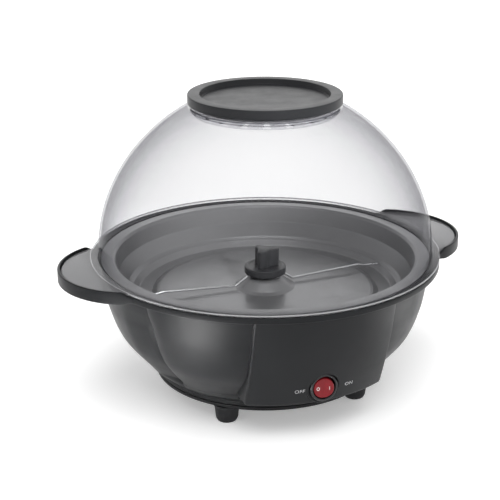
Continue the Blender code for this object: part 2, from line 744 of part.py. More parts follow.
def make_mounting_posts():
    """Three stepped studs under the pan, each with a spacer and a nut for the shield and the bracket."""
    bracket_gap = BRACKET_TOP + GAP
    for i, angle in enumerate(STUD_ANGLES):
        place = Matrix.Translation((STUD_CIRCLE * math.cos(angle), STUD_CIRCLE * math.sin(angle), 0))
        top = PLATE_BOTTOM - GAP
        stud = [(0, STUD_BOTTOM), (0.0020, STUD_BOTTOM), (0.0020, STUD_SHOULDER), (0.0040, STUD_SHOULDER),
                (0.0040, top), (0, top)]
        turned(f"mounting_stud_{i + 1}", stud, steel(f"stud_steel_{i + 1}"), 10, place)
        spacer = [(0.0024, bracket_gap), (0.0042, bracket_gap), (0.0042, SHIELD_HEIGHT - GAP),
                  (0.0024, SHIELD_HEIGHT - GAP)]
        turned(f"shield_spacer_{i + 1}", spacer, steel(f"spacer_steel_{i + 1}"), 10, place)
        nut_top = BRACKET_BOTTOM - GAP
        nut = [(0.0023, nut_top - 0.0026), (0.0042, nut_top - 0.0026), (0.0042, nut_top), (0.0023, nut_top)]
        turned(f"stud_nut_{i + 1}", nut, steel(f"nut_steel_{i + 1}"), 6, place)


def make_motor_bracket():
    """Three-armed plate that carries the gear motor under the heat shield."""
    outline = []
    for i in range(48):
        angle = 2 * math.pi * i / 48
        reach = max(math.cos(angle - stud) for stud in STUD_ANGLES)
        radius = 0.034 + 0.029 * max(0.0, (reach - 0.82) / 0.18) ** 0.5
        outline.append((radius * math.cos(angle), radius * math.sin(angle)))
    bracket = prism("motor_bracket", outline, BRACKET_BOTTOM, BRACKET_TOP, steel("bracket_steel"))
    drill(bracket, "cut_bracket_shaft", 0.0080, 0.055, 0.063)
    for i, angle in enumerate(STUD_ANGLES):
        centre = (STUD_CIRCLE * math.cos(angle), STUD_CIRCLE * math.sin(angle))
        drill(bracket, f"cut_bracket_stud_{i}", 0.0025, 0.055, 0.063, centre)


# --- gear motor ---------------------------------------------------------------------------------

def gear_outline(teeth, turn):
    """Straight-flanked teeth with backlash; a tooth points along the turn angle."""
    pitch_radius = TOOTH_MODULE * teeth / 2
    tip = pitch_radius + 0.85 * TOOTH_MODULE
    root = pitch_radius - 1.10 * TOOTH_MODULE
    step = 2 * math.pi / teeth
    outline = []
    for i in range(teeth):
        middle = turn + step * i
        for radius, share in ((root, -0.32), (tip, -0.11), (tip, 0.11), (root, 0.32)):
            angle = middle + share * step
            outline.append((radius * math.cos(angle), radius * math.sin(angle)))
    return outline


def idler_centre():
    return (GEAR_CENTRES * math.cos(IDLER_ANGLE), GEAR_CENTRES * math.sin(IDLER_ANGLE))


def rotor_centre():
    x, y = idler_centre()
    return (x + GEAR_CENTRES * math.cos(ROTOR_ANGLE), y + GEAR_CENTRES * math.sin(ROTOR_ANGLE))


def make_gears():
    """Rotor pinion drives the idler, and the idler's pinion drives the output gear."""
    nylon = white_plastic
    half_pinion = math.pi / PINION_TEETH
    idler = Matrix.Translation((*idler_centre(), 0))
    rotor = Matrix.Translation((*rotor_centre(), 0))

    teeth = gear_outline(GEAR_TEETH, IDLER_ANGLE)
    output = prism("output_gear", teeth, 0.0534, 0.0562, nylon("output_nylon"))
    drill(output, "cut_output_bore", SHAFT_RADIUS + 0.0001, 0.050, 0.060)

    big = prism(
        "idler_gear", gear_outline(GEAR_TEETH, ROTOR_ANGLE), 0.0496, 0.0524, nylon("idler_nylon"), idler
    )
    small = prism(
        "add_idler_pinion", gear_outline(PINION_TEETH, IDLER_ANGLE + math.pi + half_pinion), 0.0520, 0.0564,
        nylon("idler_pinion_nylon"), idler,
    )
    axle = turned("add_idler_axle", [(0, 0.0486), (0.0012, 0.0486), (0.0012, 0.0566), (0, 0.0566)],
                  steel("axle_steel"), 8, idler)
    boolean(big, small, "UNION")
    boolean(big, axle, "UNION")

    magnet = make_material("rotor_magnet", (0.10, 0.10, 0.11), 0.5, metallic=0.3)
    body = turned(
        "rotor", [(0, 0.0305), (0.0010, 0.0305), (0.0010, 0.0330), (0.0095, 0.0330), (0.0095, 0.0450),
                  (0.0010, 0.0450), (0.0010, 0.0498), (0, 0.0498)],
        magnet, 16, rotor,
    )
    pinion = prism(
        "add_rotor_pinion", gear_outline(PINION_TEETH, ROTOR_ANGLE + math.pi + half_pinion), 0.0492, 0.0528,
        magnet, rotor,
    )
    boolean(body, pinion, "UNION")


def make_drive_shaft():
    """Output shaft: round in the gearbox, six-sided at the top where the stirrer sits on it."""
    profile = [
        (0, 0.0500), (0.0013, 0.0500), (0.0013, 0.0532), (SHAFT_RADIUS, 0.0532), (SHAFT_RADIUS, 0.0988),
        (SHAFT_RADIUS - 0.0004, SHAFT_TOP - 0.0008), (SHAFT_RADIUS - 0.0010, SHAFT_TOP), (0, SHAFT_TOP),
    ]
    turned("drive_shaft", profile, steel("shaft_steel"), SMALL_ROUND)


def make_motor():
    centre = Matrix.Translation((0, MOTOR_Y, 0))
    lid_bottom = MOTOR_TOP - MOTOR_LID
    wall = 0.0012
    cup = [
        (0, MOTOR_BOTTOM), (MOTOR_RADIUS - 0.001, MOTOR_BOTTOM), (MOTOR_RADIUS, MOTOR_BOTTOM + 0.001),
        (MOTOR_RADIUS, lid_bottom - GAP), (MOTOR_RADIUS - wall, lid_bottom - GAP),
        (MOTOR_RADIUS - wall, MOTOR_BOTTOM + wall), (0, MOTOR_BOTTOM + wall),
    ]
    turned("motor_case", cup, steel("motor_steel"), 32, centre)
    lid_profile = [(0, lid_bottom), (MOTOR_RADIUS, lid_bottom), (MOTOR_RADIUS, MOTOR_TOP), (0, MOTOR_TOP)]
    lid = turned("motor_cover", lid_profile, steel("motor_cover_steel"), 32, centre)
    drill(lid, "cut_lid_shaft", SHAFT_RADIUS + GAP, 0.055, 0.060)
    plate_radius = MOTOR_RADIUS - wall - GAP
    plate = turned(
        "gear_plate", [(0, GEAR_PLATE_HEIGHT), (plate_radius, GEAR_PLATE_HEIGHT),
                       (plate_radius, GEAR_PLATE_HEIGHT + 0.0010), (0, GEAR_PLATE_HEIGHT + 0.0010)],
        steel("gear_plate_steel"), 32, centre,
    )
    drill(plate, "cut_plate_rotor", 0.0014, 0.045, 0.050, rotor_centre())
    coil = [(0.0115, 0.0315), (0.0260, 0.0315), (0.0260, 0.0460), (0.0115, 0.0460)]
    turned("stator_coil", coil, make_material("coil_enamel", (0.45, 0.19, 0.07), 0.4, metallic=0.4), 24,
           Matrix.Translation((*rotor_centre(), 0)))


def make_shaft_bushing():
    """Bearing sleeve in the hole of the pan's cone, held from below by a collar."""
    bore = SHAFT_RADIUS + 0.0003
    collar = 0.0971 - GAP
    profile = [
        (bore, 0.0900), (0.0100, 0.0900), (0.0100, collar), (0.0081, collar),
        (0.0081, 0.0984), (bore, 0.0984),
    ]
    turned("shaft_bushing", profile, brass("bushing_brass"), 20)


# --- stirrer ------------------------------------------------------------------------------------

def make_stirrer_hub():
    """Disc and stepped neck that sit over the shaft; the arms leave from under the disc."""
    socket = SHAFT_RADIUS + 0.0003
    profile = [
        (0, SHAFT_TOP + 0.0005), (socket, SHAFT_TOP + 0.0005), (socket, HUB_BOTTOM),
        (HUB_NECK_RADIUS - 0.0005, HUB_BOTTOM), (HUB_NECK_RADIUS, HUB_BOTTOM + 0.0006),
        (HUB_NECK_RADIUS, HUB_DISC_BOTTOM), (HUB_DISC_RADIUS - 0.0006, HUB_DISC_BOTTOM),
        (HUB_DISC_RADIUS, HUB_DISC_BOTTOM + 0.0006), (HUB_DISC_RADIUS, HUB_DISC_TOP - 0.0006),
        (HUB_DISC_RADIUS - 0.0006, HUB_DISC_TOP), (0, HUB_DISC_TOP),
    ]
    turned("stirrer_hub", profile, charcoal_plastic("hub_plastic"), 24)


def make_stirrer_knob():
    """Grip with three wings and hollow sides."""
    outline = []
    for i in range(3):
        tip = math.radians(-12 + 120 * i)
        shoulder = KNOB_TIP - 0.0003
        wing = ((-9, shoulder), (0, KNOB_TIP), (9, shoulder), (30, 0.0080), (60, 0.0064), (90, 0.0080))
        for offset, radius in wing:
            angle = tip + math.radians(offset)
            outline.append((radius * math.cos(angle), radius * math.sin(angle)))
    prism("stirrer_knob", outline, HUB_DISC_TOP + GAP, KNOB_TOP, charcoal_plastic("knob_plastic"))


def make_stirrer_arms():
    """Sprung wires that run just above the pan and step down beyond its raised disc."""
    stops = [
        (0.01345, 0.1004), (0.0160, 0.0994), (0.0263, 0.0922), (0.0275, 0.0920), (0.0905, 0.0940),
        (0.0930, 0.0938), (0.1010, 0.0922), (0.1135, 0.0921),
    ]
    for name, side in (("left", -1), ("right", 1)):
        sweep = Vector((side * math.cos(ARM_SWEEP), math.sin(ARM_SWEEP), 0))
        route = [sweep * radius + Vector((0, 0, height)) for radius, height in stops]
        tube(f"stirrer_arm_{name}", route, ARM_RADIUS, steel(f"arm_chrome_{name}"), resolution=1)


# --- switch, grommet and wiring -----------------------------------------------------------------

def make_switch():
    place = facing_front(SWITCH_HEIGHT)
    back = SWITCH_FACE - 0.0190
    rear = SWITCH_FACE - 0.0020 + GAP
    profile = [
        (0, back), (BARREL_RADIUS, back), (BARREL_RADIUS, rear), (BEZEL_RADIUS, rear),
        (BEZEL_RADIUS, SWITCH_FACE - 0.0002), (BEZEL_RADIUS - 0.0006, SWITCH_FACE + 0.0004),
        (WELL_RADIUS + 0.0004, SWITCH_FACE + 0.0006), (WELL_RADIUS, SWITCH_FACE),
        (WELL_RADIUS, back + 0.0060), (0, back + 0.0060),
    ]
    turned("switch_body", profile, black_plastic("switch_plastic"), 20, place)
    for i, x in enumerate((-0.004, 0.004)):
        box(f"switch_terminal_{i + 1}", (x, -(back - 0.0045 - GAP), SWITCH_HEIGHT), (0.0008, 0.009, 0.0048),
            brass(f"terminal_brass_{i + 1}"))
    make_rocker()


def make_rocker():
    """Red rocker, turned about an upright axis so that its off side, at -X, is pressed in."""
    pivot_depth = SWITCH_FACE - 0.0040
    pivot = Matrix.Translation((0, -pivot_depth, SWITCH_HEIGHT))
    tilt = Matrix.Rotation(-ROCKER_TILT, 4, "Z")
    count = 20
    front = []
    back = []
    for i in range(count):
        angle = 2 * math.pi * i / count
        x = ROCKER_RADIUS * math.cos(angle)
        z = ROCKER_RADIUS * math.sin(angle)
        front.append(Vector((x, -0.0048 - 0.12 * abs(x), z)))
        back.append(Vector((x * 0.95, 0.0045 - 0.12 * abs(x), z * 0.95)))
    red = make_material("rocker_red", (0.45, 0.02, 0.025), 0.3)
    points = front + back + [Vector((0, -0.0048, 0)), Vector((0, 0.0045, 0))]
    faces = [(i, (i + 1) % count, count + (i + 1) % count, count + i) for i in range(count)]
    faces += [(2 * count, (i + 1) % count, i) for i in range(count)]
    faces += [(2 * count + 1, count + i, count + (i + 1) % count) for i in range(count)]
    rocker = add_object("switch_rocker", [tilt @ p for p in points], faces, red)
    rocker.matrix_world = pivot


def make_cord_grommet():
    """Bush at the rear where the mains cord enters; it has a collar on both sides of the boss."""
    place = facing_front(GROMMET_HEIGHT, 1.0)
    face = SWITCH_FACE - 0.0020 + GAP
    rear = face - 0.0022 - 2 * GAP
    profile = [
        (0.0036, rear - 0.0040), (GROMMET_RADIUS + 0.0018, rear - 0.0040), (GROMMET_RADIUS + 0.0018, rear),
        (GROMMET_RADIUS, rear), (GROMMET_RADIUS, face), (GROMMET_RADIUS + 0.0025, face),
        (GROMMET_RADIUS + 0.0021, face + 0.0020), (0.0060, face + 0.0090), (0.0036, face + 0.0090),
    ]
    turned("cord_grommet", profile, black_plastic("grommet_rubber"), 16, place)


def make_terminal_block():
    block = box("terminal_block", (0, 0.068, COVER_FLOOR_TOP + GAP + 0.0040), (0.036, 0.016, 0.008),
                white_plastic("block_nylon"))
    for i, x in enumerate((-0.012, 0.0, 0.012)):
        drill(block, f"cut_block_{i}", 0.0026, 0.0215, 0.030, (x, 0.068))


def make_wiring():
    """Insulated leads from the terminal block to the element, the motor and the switch."""
    routes = {
        "element_left": [(-0.0190, 0.0690, 0.0690), (-0.0195, 0.0700, 0.0560), (-0.0160, 0.0705, 0.0400),
                         (-0.0120, 0.0680, 0.0300), (-0.0120, 0.0680, 0.0240)],
        "element_right": [(0.0190, 0.0690, 0.0690), (0.0195, 0.0700, 0.0560), (0.0160, 0.0705, 0.0400),
                          (0.0120, 0.0680, 0.0300), (0.0120, 0.0680, 0.0240)],
        "motor": [(0.0000, 0.0445, 0.0400), (0.0000, 0.0530, 0.0395), (0.0000, 0.0650, 0.0360),
                  (0.0000, 0.0680, 0.0300), (0.0000, 0.0680, 0.0240)],
        "switch": [(0.0040, -0.0990, 0.0482), (0.0050, -0.0930, 0.0450), (0.0120, -0.0820, 0.0310),
                   (0.0320, -0.0600, 0.0220), (0.0430, -0.0100, 0.0212), (0.0390, 0.0350, 0.0212),
                   (0.0260, 0.0600, 0.0225), (0.0194, 0.0660, 0.0225)],
    }
    colours = {
        "element_left": (0.5, 0.5, 0.52), "element_right": (0.5, 0.5, 0.52), "motor": (0.35, 0.12, 0.05),
        "switch": (0.03, 0.08, 0.35),
    }
    for name, points in routes.items():
        insulation = make_material(f"wire_{name}_insulation", colours[name], 0.5)
        tube(f"wire_{name}", smooth_route(points, 2), 0.0011, insulation, resolution=1)


def main():
    clear_scene()
    make_top_ring()
    make_dome()
    make_vent_grille()
    make_vent_cap()
    make_base_shell()
    make_bottom_cover()
    make_feet()
    make_cover_screws()
    make_pan()
    make_heating_plate()
    make_heating_element()
    make_element_clamps()
    make_thermostat()
    make_thermal_fuse()
    make_heat_shield()
    make_mounting_posts()
    make_motor_bracket()
    make_gears()
    make_drive_shaft()
    make_motor()
    make_shaft_bushing()
    make_stirrer_hub()
    make_stirrer_knob()
    make_stirrer_arms()
    make_switch()
    make_cord_grommet()
    make_terminal_block()
    make_wiring()


main()
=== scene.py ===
"""Looks of the popcorn maker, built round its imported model. Metres, +Z up, -Y the front."""

import math

import bmesh
import bpy
from mathutils import Matrix, Vector


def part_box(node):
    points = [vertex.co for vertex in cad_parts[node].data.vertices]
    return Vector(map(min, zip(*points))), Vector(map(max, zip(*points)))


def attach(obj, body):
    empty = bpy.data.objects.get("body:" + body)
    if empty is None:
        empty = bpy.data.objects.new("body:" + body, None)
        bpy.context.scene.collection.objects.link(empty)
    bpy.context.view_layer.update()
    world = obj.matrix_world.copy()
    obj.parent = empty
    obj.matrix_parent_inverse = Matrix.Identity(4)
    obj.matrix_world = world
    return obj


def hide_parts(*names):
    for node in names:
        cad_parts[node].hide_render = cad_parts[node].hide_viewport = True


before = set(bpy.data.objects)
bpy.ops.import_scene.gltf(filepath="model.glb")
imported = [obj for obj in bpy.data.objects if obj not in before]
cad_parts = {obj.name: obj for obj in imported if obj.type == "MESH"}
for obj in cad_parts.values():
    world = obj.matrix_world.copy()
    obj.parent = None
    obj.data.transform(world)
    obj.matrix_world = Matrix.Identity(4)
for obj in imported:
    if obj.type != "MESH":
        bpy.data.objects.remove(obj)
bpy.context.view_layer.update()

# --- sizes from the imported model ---

RING_LOW, RING_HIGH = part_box("top_ring")
DOME_LOW, DOME_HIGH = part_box("dome_cover")
GRILLE_LOW, GRILLE_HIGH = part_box("vent_grille")
CAP_LOW, CAP_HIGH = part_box("vent_cap")
SHELL_LOW, SHELL_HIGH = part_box("base_shell")
COVER_LOW, COVER_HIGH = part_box("bottom_cover")
PAN_LOW, PAN_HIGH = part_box("popping_pan")
HUB_LOW, HUB_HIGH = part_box("stirrer_hub")
KNOB_LOW, KNOB_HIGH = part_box("stirrer_knob")
SWITCH_LOW, SWITCH_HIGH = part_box("switch_body")
ROCKER_LOW, ROCKER_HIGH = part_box("switch_rocker")
GROMMET_LOW, GROMMET_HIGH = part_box("cord_grommet")
SHAFT_LOW, SHAFT_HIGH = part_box("drive_shaft")
BUSHING_LOW, BUSHING_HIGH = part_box("shaft_bushing")

RIM_RADIUS = RING_HIGH.y
HANDLE_OFFSET = 0.11625
HANDLE_RADIUS = RING_HIGH.x - HANDLE_OFFSET
TAB_RADIUS = DOME_HIGH.x - HANDLE_OFFSET
BAND_TOP = DOME_LOW.z - 0.0003
BAND_BOTTOM = SHELL_HIGH.z + 0.0003
HANDLE_WALL = 0.0022
HANDLE_RISE = RING_HIGH.z - BAND_TOP
HANDLE_DROP = 0.0015
CORNER_BLEND = 0.0030
WALL_START = 0.0010
WALL_FULL = 0.0075

DOME_CENTRE = 0.1295
DOME_RADIUS = 0.1431
DOME_HEIGHT = 0.1377
DOME_POWER = 1.897
DOME_WALL = 0.0022
FLANGE_THICK = 0.0022
NECK_RADIUS = 0.0626

PETAL_CREASE = math.radians(64.5)
CREASE_FRONT = math.radians(6.5)
CREASE_SIDE = math.radians(13.0)
CREASE_DEPTH = 0.0056
CREASE_FADE = 0.0250
CREASE_TOP_SHARE = 0.55
CREASE_FOOT_FADE = 0.0100
PETAL_RECEDE = 0.0028
SHELL_WALL = 0.0025
SHELL_RING_TOP = 0.0235
SHELL_SHARP = 34.0
PANEL_HALF_WIDTH = 0.0603
PANEL_TOP_RADIUS = 0.14475
PANEL_BOTTOM_RADIUS = 0.1225
PANEL_BOTTOM = 0.0333
PANEL_BULGE = 0.0022
PANEL_CORNER = 0.0030
PANEL_EDGE = 0.0010

SWITCH_HEIGHT = (SWITCH_LOW.z + SWITCH_HIGH.z) / 2
SWITCH_FACE = -SWITCH_LOW.y - 0.0006
BEZEL_RADIUS = SWITCH_HIGH.x
BOSS_RADIUS = 0.0142
BOSS_DEPTH = 0.0085
BOSS_FLOOR = 0.0022
BOSS_CLEARANCE = 0.0007
BEZEL_LIP = 0.0020
SWITCH_HOLE = 0.0106
CORD_HOLE = 0.0088
TURN = 2 * math.pi
FINE = 144


# --- node materials ---

class Nodes:
    """Short way to add and join shader nodes of one material."""

    def __init__(self, name):
        self.mat = bpy.data.materials.new(name)
        self.mat.use_nodes = True
        self.tree = self.mat.node_tree
        self.tree.nodes.clear()
        self.out = self.add("ShaderNodeOutputMaterial")
        self.place = self.add("ShaderNodeTexCoord").outputs["Object"]

    def add(self, kind, **settings):
        node = self.tree.nodes.new(kind)
        for key, value in settings.items():
            setattr(node, key, value)
        return node

    def join(self, source, target):
        self.tree.links.new(source, target)

    def noise(self, scale, detail=2.0, rough=0.5, stretch=None):
        node = self.add("ShaderNodeTexNoise")
        node.inputs["Scale"].default_value = scale
        node.inputs["Detail"].default_value = detail
        node.inputs["Roughness"].default_value = rough
        where = self.place
        if stretch is not None:
            mapping = self.add("ShaderNodeMapping")
            mapping.inputs["Scale"].default_value = stretch
            self.join(self.place, mapping.inputs["Vector"])
            where = mapping.outputs["Vector"]
        self.join(where, node.inputs["Vector"])
        return node.outputs["Fac"]

    def spread(self, source, low, high, start=0.3, end=0.7):
        node = self.add("ShaderNodeMapRange")
        node.inputs["From Min"].default_value = start
        node.inputs["From Max"].default_value = end
        node.inputs["To Min"].default_value = low
        node.inputs["To Max"].default_value = high
        self.join(source, node.inputs["Value"])
        return node.outputs["Result"]

    def blend(self, share, first, second):
        node = self.add("ShaderNodeMix", data_type="RGBA")
        self.join(share, node.inputs["Factor"])
        for socket, colour in ((node.inputs[6], first), (node.inputs[7], second)):
            socket.default_value = (*colour, 1.0)
        return node.outputs[2]

    def facing(self):
        """How far the surface turns away from the eye: 0 face on, 1 edge on."""
        return self.add("ShaderNodeLayerWeight").outputs["Facing"]

    def math(self, operation, first, second):
        node = self.add("ShaderNodeMath", operation=operation)
        self.join(first, node.inputs[0])
        self.join(second, node.inputs[1])
        return node.outputs[0]

    def bump(self, height, strength, distance, before=None):
        node = self.add("ShaderNodeBump")
        node.inputs["Strength"].default_value = strength
        node.inputs["Distance"].default_value = distance
        self.join(height, node.inputs["Height"])
        if before is not None:
            self.join(before, node.inputs["Normal"])
        return node.outputs["Normal"]

    def shader(self, **values):
        node = self.add("ShaderNodeBsdfPrincipled")
        for key, value in values.items():
            socket = node.inputs[key.replace("_", " ")]
            if isinstance(value, bpy.types.NodeSocket):
                self.join(value, socket)
            else:
                socket.default_value = value
        return node

    def finish(self, node):
        self.join(node.outputs[0], self.out.inputs["Surface"])
        return self.mat


def polar(radius, angle, height):
    return Vector((radius * math.cos(angle), radius * math.sin(angle), height))


def scaled(colour, share):
    return tuple(c * share for c in colour)


def plastic(name, colour, rough, grain=0.25, specular=0.4, mottle=0.10, coat=0.0, ior=1.45):
    """Moulded plastic: fine eroded grain, faint flow mottling and uneven gloss."""
    n = Nodes(name)
    flow = n.noise(22.0, 3.0)
    shade = n.blend(n.spread(flow, 0.0, 1.0), scaled(colour, 1 - mottle), scaled(colour, 1 + mottle))
    gloss = n.spread(n.noise(75.0, 4.0, 0.6), rough - 0.03, rough + 0.04)
    waves = n.bump(n.noise(40.0, 1.0), 0.10, 0.0004)
    fine = n.bump(n.noise(2600.0, 2.0, 0.6), grain, 0.00006, waves)
    return n.finish(n.shader(
        Base_Color=shade, Roughness=gloss, Normal=fine, Specular_IOR_Level=specular, IOR=ior,
        Coat_Weight=coat, Coat_Roughness=0.12,
    ))


def rubber(name, colour):
    n = Nodes(name)
    dust = n.noise(160.0, 5.0, 0.7)
    shade = n.blend(n.spread(dust, 0.0, 1.0, 0.4, 0.75), colour, scaled(colour, 2.1))
    gloss = n.spread(n.noise(90.0, 3.0), 0.55, 0.74)
    grain = n.bump(n.noise(1700.0, 4.0, 0.7), 0.5, 0.0001)
    return n.finish(n.shader(Base_Color=shade, Roughness=gloss, Normal=grain, Specular_IOR_Level=0.3))


def metal(name, colour, rough, grain=0.3, stretch=None, stain=0.12, scale=700.0):
    """Bare or plated metal with drawing marks or cast grain, and slightly uneven tarnish."""
    n = Nodes(name)
    tarnish = n.noise(35.0, 4.0, 0.6)
    shade = n.blend(n.spread(tarnish, 0.0, 1.0), scaled(colour, 1 - stain), colour)
    gloss = n.spread(n.noise(120.0, 3.0, 0.6, stretch), rough * 0.8, rough * 1.25)
    marks = n.bump(n.noise(scale, 3.0, 0.6, stretch), grain, 0.00008)
    return n.finish(n.shader(Base_Color=shade, Metallic=1.0, Roughness=gloss, Normal=marks))


def coated(name, colour, rough):
    """Non-stick coating: soft sheen, fine orange peel and scattered pale flecks."""
    n = Nodes(name)
    flecks = n.noise(2400.0, 1.0, 0.4)
    light = n.spread(flecks, 0.0, 1.0, 0.66, 0.76)
    shade = n.blend(light, colour, scaled(colour, 2.0))
    gloss = n.spread(n.noise(48.0, 4.0, 0.6), rough - 0.04, rough + 0.05)
    peel = n.bump(n.noise(520.0, 2.0, 0.5), 0.22, 0.00012)
    return n.finish(n.shader(
        Base_Color=shade, Metallic=0.55, Roughness=gloss, Normal=peel, Specular_IOR_Level=0.5,
    ))


def from_axis(n):
    """Distance from the upright axis through the middle."""
    flat = n.add("ShaderNodeVectorMath", operation="MULTIPLY")
    flat.inputs[1].default_value = (1.0, 1.0, 0.0)
    n.join(n.place, flat.inputs[0])
    reach = n.add("ShaderNodeVectorMath", operation="LENGTH")
    n.join(flat.outputs[0], reach.inputs[0])
    return reach.outputs["Value"]


def neck_shadow_line(n):
    """Painted shadow: a dark line where the dome turns up into its neck, standing in for the shadow
    gap there.
    """
    distance = from_axis(n)
    height = n.add("ShaderNodeSeparateXYZ")
    n.join(n.place, height.inputs[0])
    high = n.spread(height.outputs["Z"], 0.0, 0.85, DOME_HIGH.z - 0.0050, DOME_HIGH.z - 0.0044)
    rising = n.spread(distance, 0.0, 1.0, NECK_RADIUS - 0.0002, NECK_RADIUS + 0.0002)
    falling = n.spread(distance, 1.0, 0.0, NECK_RADIUS + 0.0014, NECK_RADIUS + 0.0022)
    return n.math("MULTIPLY", high, n.math("MULTIPLY", rising, falling))


def frost_and_highlight_share(n):
    """Where the dome's plastic is matt, its handle tabs, and a painted highlight: a fine pale line
    round its flange's edge, standing in for light caught there.
    """
    distance = from_axis(n)
    across = n.add("ShaderNodeSeparateXYZ")
    n.join(n.place, across.inputs[0])
    away = n.add("ShaderNodeMath", operation="ABSOLUTE")
    n.join(across.outputs["X"], away.inputs[0])
    outside = n.spread(distance, 0.0, 1.0, DOME_RADIUS + 0.0006, DOME_RADIUS + 0.0012)
    tab = n.math("MULTIPLY", outside, n.spread(away.outputs[0], 0.0, 0.20, 0.100, 0.156))
    # Painted highlight: a thin pale ring where the flange's edge catches the light.
    rising = n.spread(distance, 0.0, 0.55, RIM_RADIUS - 0.0006, RIM_RADIUS - 0.0002)
    falling = n.spread(distance, 1.0, 0.0, RIM_RADIUS + 0.0002, RIM_RADIUS + 0.0008)
    upper = n.spread(across.outputs["Z"], 0.0, 1.0, DOME_LOW.z + 0.0008, DOME_LOW.z + 0.0012)
    flange_highlight = n.math("MULTIPLY", n.math("MULTIPLY", rising, falling), upper)
    return n.math("MAXIMUM", tab, flange_highlight)


# Dark body of the clear plastic where it turns edge on; also the colour of the painted shadow line at
# the neck.
CLEAR_BODY_AND_SHADOW = (0.08, 0.08, 0.09)
# Grey of the matt handle tabs, also used for the painted highlight line round the flange.
FROST_AND_HIGHLIGHT_GREY = (0.40, 0.40, 0.41)


def clear(name, middle, edge, most, rough=0.05, frost_and_painted_lines=False):
    """Clear moulded plastic: see-through face on, darker where it turns away. On the dome it also has
    matt handle tabs, a painted highlight line round its flange and a painted shadow line at its neck.
    """
    n = Nodes(name)
    facing = n.facing()

    def power(exponent):
        curve = n.add("ShaderNodeMath", operation="POWER")
        n.join(facing, curve.inputs[0])
        curve.inputs[1].default_value = exponent
        return curve.outputs[0]

    solid = n.spread(power(4.0), 0.02, most, 0.0, 1.0)
    ripple = n.bump(n.noise(28.0, 2.0), 0.05, 0.0006)
    gloss = n.spread(n.noise(60.0, 3.0), rough * 0.8, rough * 1.3)
    skin = n.shader(
        Base_Color=(*CLEAR_BODY_AND_SHADOW, 1.0), Roughness=gloss, Normal=ripple,
        Specular_IOR_Level=n.spread(facing, 0.6, 0.03, 0.72, 0.95),
    )
    through = n.add("ShaderNodeBsdfTransparent")
    n.join(n.blend(power(2.0), middle, edge), through.inputs["Color"])
    # Dome only: matt tabs, a painted highlight line round the flange and a painted shadow line at the
    # neck foot.
    if frost_and_painted_lines:
        frost_and_highlight = frost_and_highlight_share(n)
        solid = n.math("ADD", n.math("ADD", solid, frost_and_highlight), neck_shadow_line(n))
        shade = n.blend(n.spread(frost_and_highlight, 0.0, 1.0, 0.0, 0.2), CLEAR_BODY_AND_SHADOW, FROST_AND_HIGHLIGHT_GREY)
        n.join(shade, skin.inputs["Base Color"])
    mix = n.add("ShaderNodeMixShader")
    n.join(solid, mix.inputs[0])
    n.join(through.outputs[0], mix.inputs[1])
    n.join(skin.outputs[0], mix.inputs[2])
    return n.finish(mix)


CHARCOAL = (0.011, 0.0115, 0.0125)
M_SHELL = plastic("shell_charcoal", CHARCOAL, 0.34, specular=0.40, ior=1.28)
M_BAND = plastic("band_charcoal", CHARCOAL, 0.36, specular=0.28, ior=1.28)
M_CAP = plastic("cap_charcoal", (0.016, 0.0165, 0.018), 0.38, specular=0.45, ior=1.24)
M_COVER = plastic("cover_black", (0.009, 0.009, 0.010), 0.5, grain=0.4, specular=0.2)
M_FOOT = rubber("foot_rubber_black", (0.007, 0.007, 0.008))
M_PAN = coated("pan_nonstick", (0.200, 0.201, 0.205), 0.32)
M_STIR = plastic("stirrer_charcoal", (0.022, 0.0225, 0.024), 0.42)
M_SWITCH = plastic("switch_black", (0.010, 0.010, 0.011), 0.28, grain=0.1, specular=0.5)
M_ROCKER = plastic("rocker_red", (0.17, 0.007, 0.011), 0.30, grain=0.06, specular=0.25, coat=0.05)
M_MARK = plastic("mark_white", (0.78, 0.78, 0.76), 0.5, grain=0.1)
M_LABEL = plastic("label_print", (0.62, 0.62, 0.63), 0.5, grain=0.1)
M_GROMMET = rubber("grommet_black", (0.014, 0.014, 0.015))
M_CHROME = metal("arm_chrome", (0.86, 0.87, 0.88), 0.12, grain=0.08, stain=0.04)
M_STEEL = metal("plated_steel", (0.60, 0.60, 0.61), 0.32)
M_SCREW = metal("screw_zinc", (0.66, 0.66, 0.64), 0.28, grain=0.2)
M_BRASS = metal("turned_brass", (0.73, 0.55, 0.27), 0.30, stretch=(1, 1, 12))
M_CAST = metal("cast_aluminium", (0.62, 0.62, 0.63), 0.48, grain=0.8, scale=420.0)
M_SHEET = metal("sheet_aluminium", (0.77, 0.77, 0.78), 0.33, stretch=(1, 14, 1))
M_SHEATH = metal("element_sheath", (0.30, 0.28, 0.26), 0.42, stain=0.35)
M_NYLON = plastic("white_nylon", (0.74, 0.73, 0.69), 0.42, grain=0.2)
M_PHENOLIC = plastic("black_phenolic", (0.018, 0.016, 0.015), 0.45, grain=0.5)
M_MAGNET = metal("rotor_magnet", (0.10, 0.10, 0.11), 0.5, grain=0.7, scale=900.0)
M_COIL = metal("coil_enamel", (0.52, 0.20, 0.07), 0.33, stretch=(2, 2, 60), stain=0.3)
M_GREY_WIRE = plastic("wire_grey", (0.36, 0.36, 0.38), 0.5)
M_BROWN_WIRE = plastic("wire_brown", (0.20, 0.07, 0.03), 0.5)
M_BLUE_WIRE = plastic("wire_blue", (0.02, 0.06, 0.30), 0.5)
M_DOME = clear("dome_clear", (0.918, 0.918, 0.92), (0.70, 0.70, 0.715), 0.45, frost_and_painted_lines=True)
M_GRILLE = clear("grille_clear", (0.975, 0.975, 0.98), (0.86, 0.86, 0.88), 0.30)


# --- mesh building ---

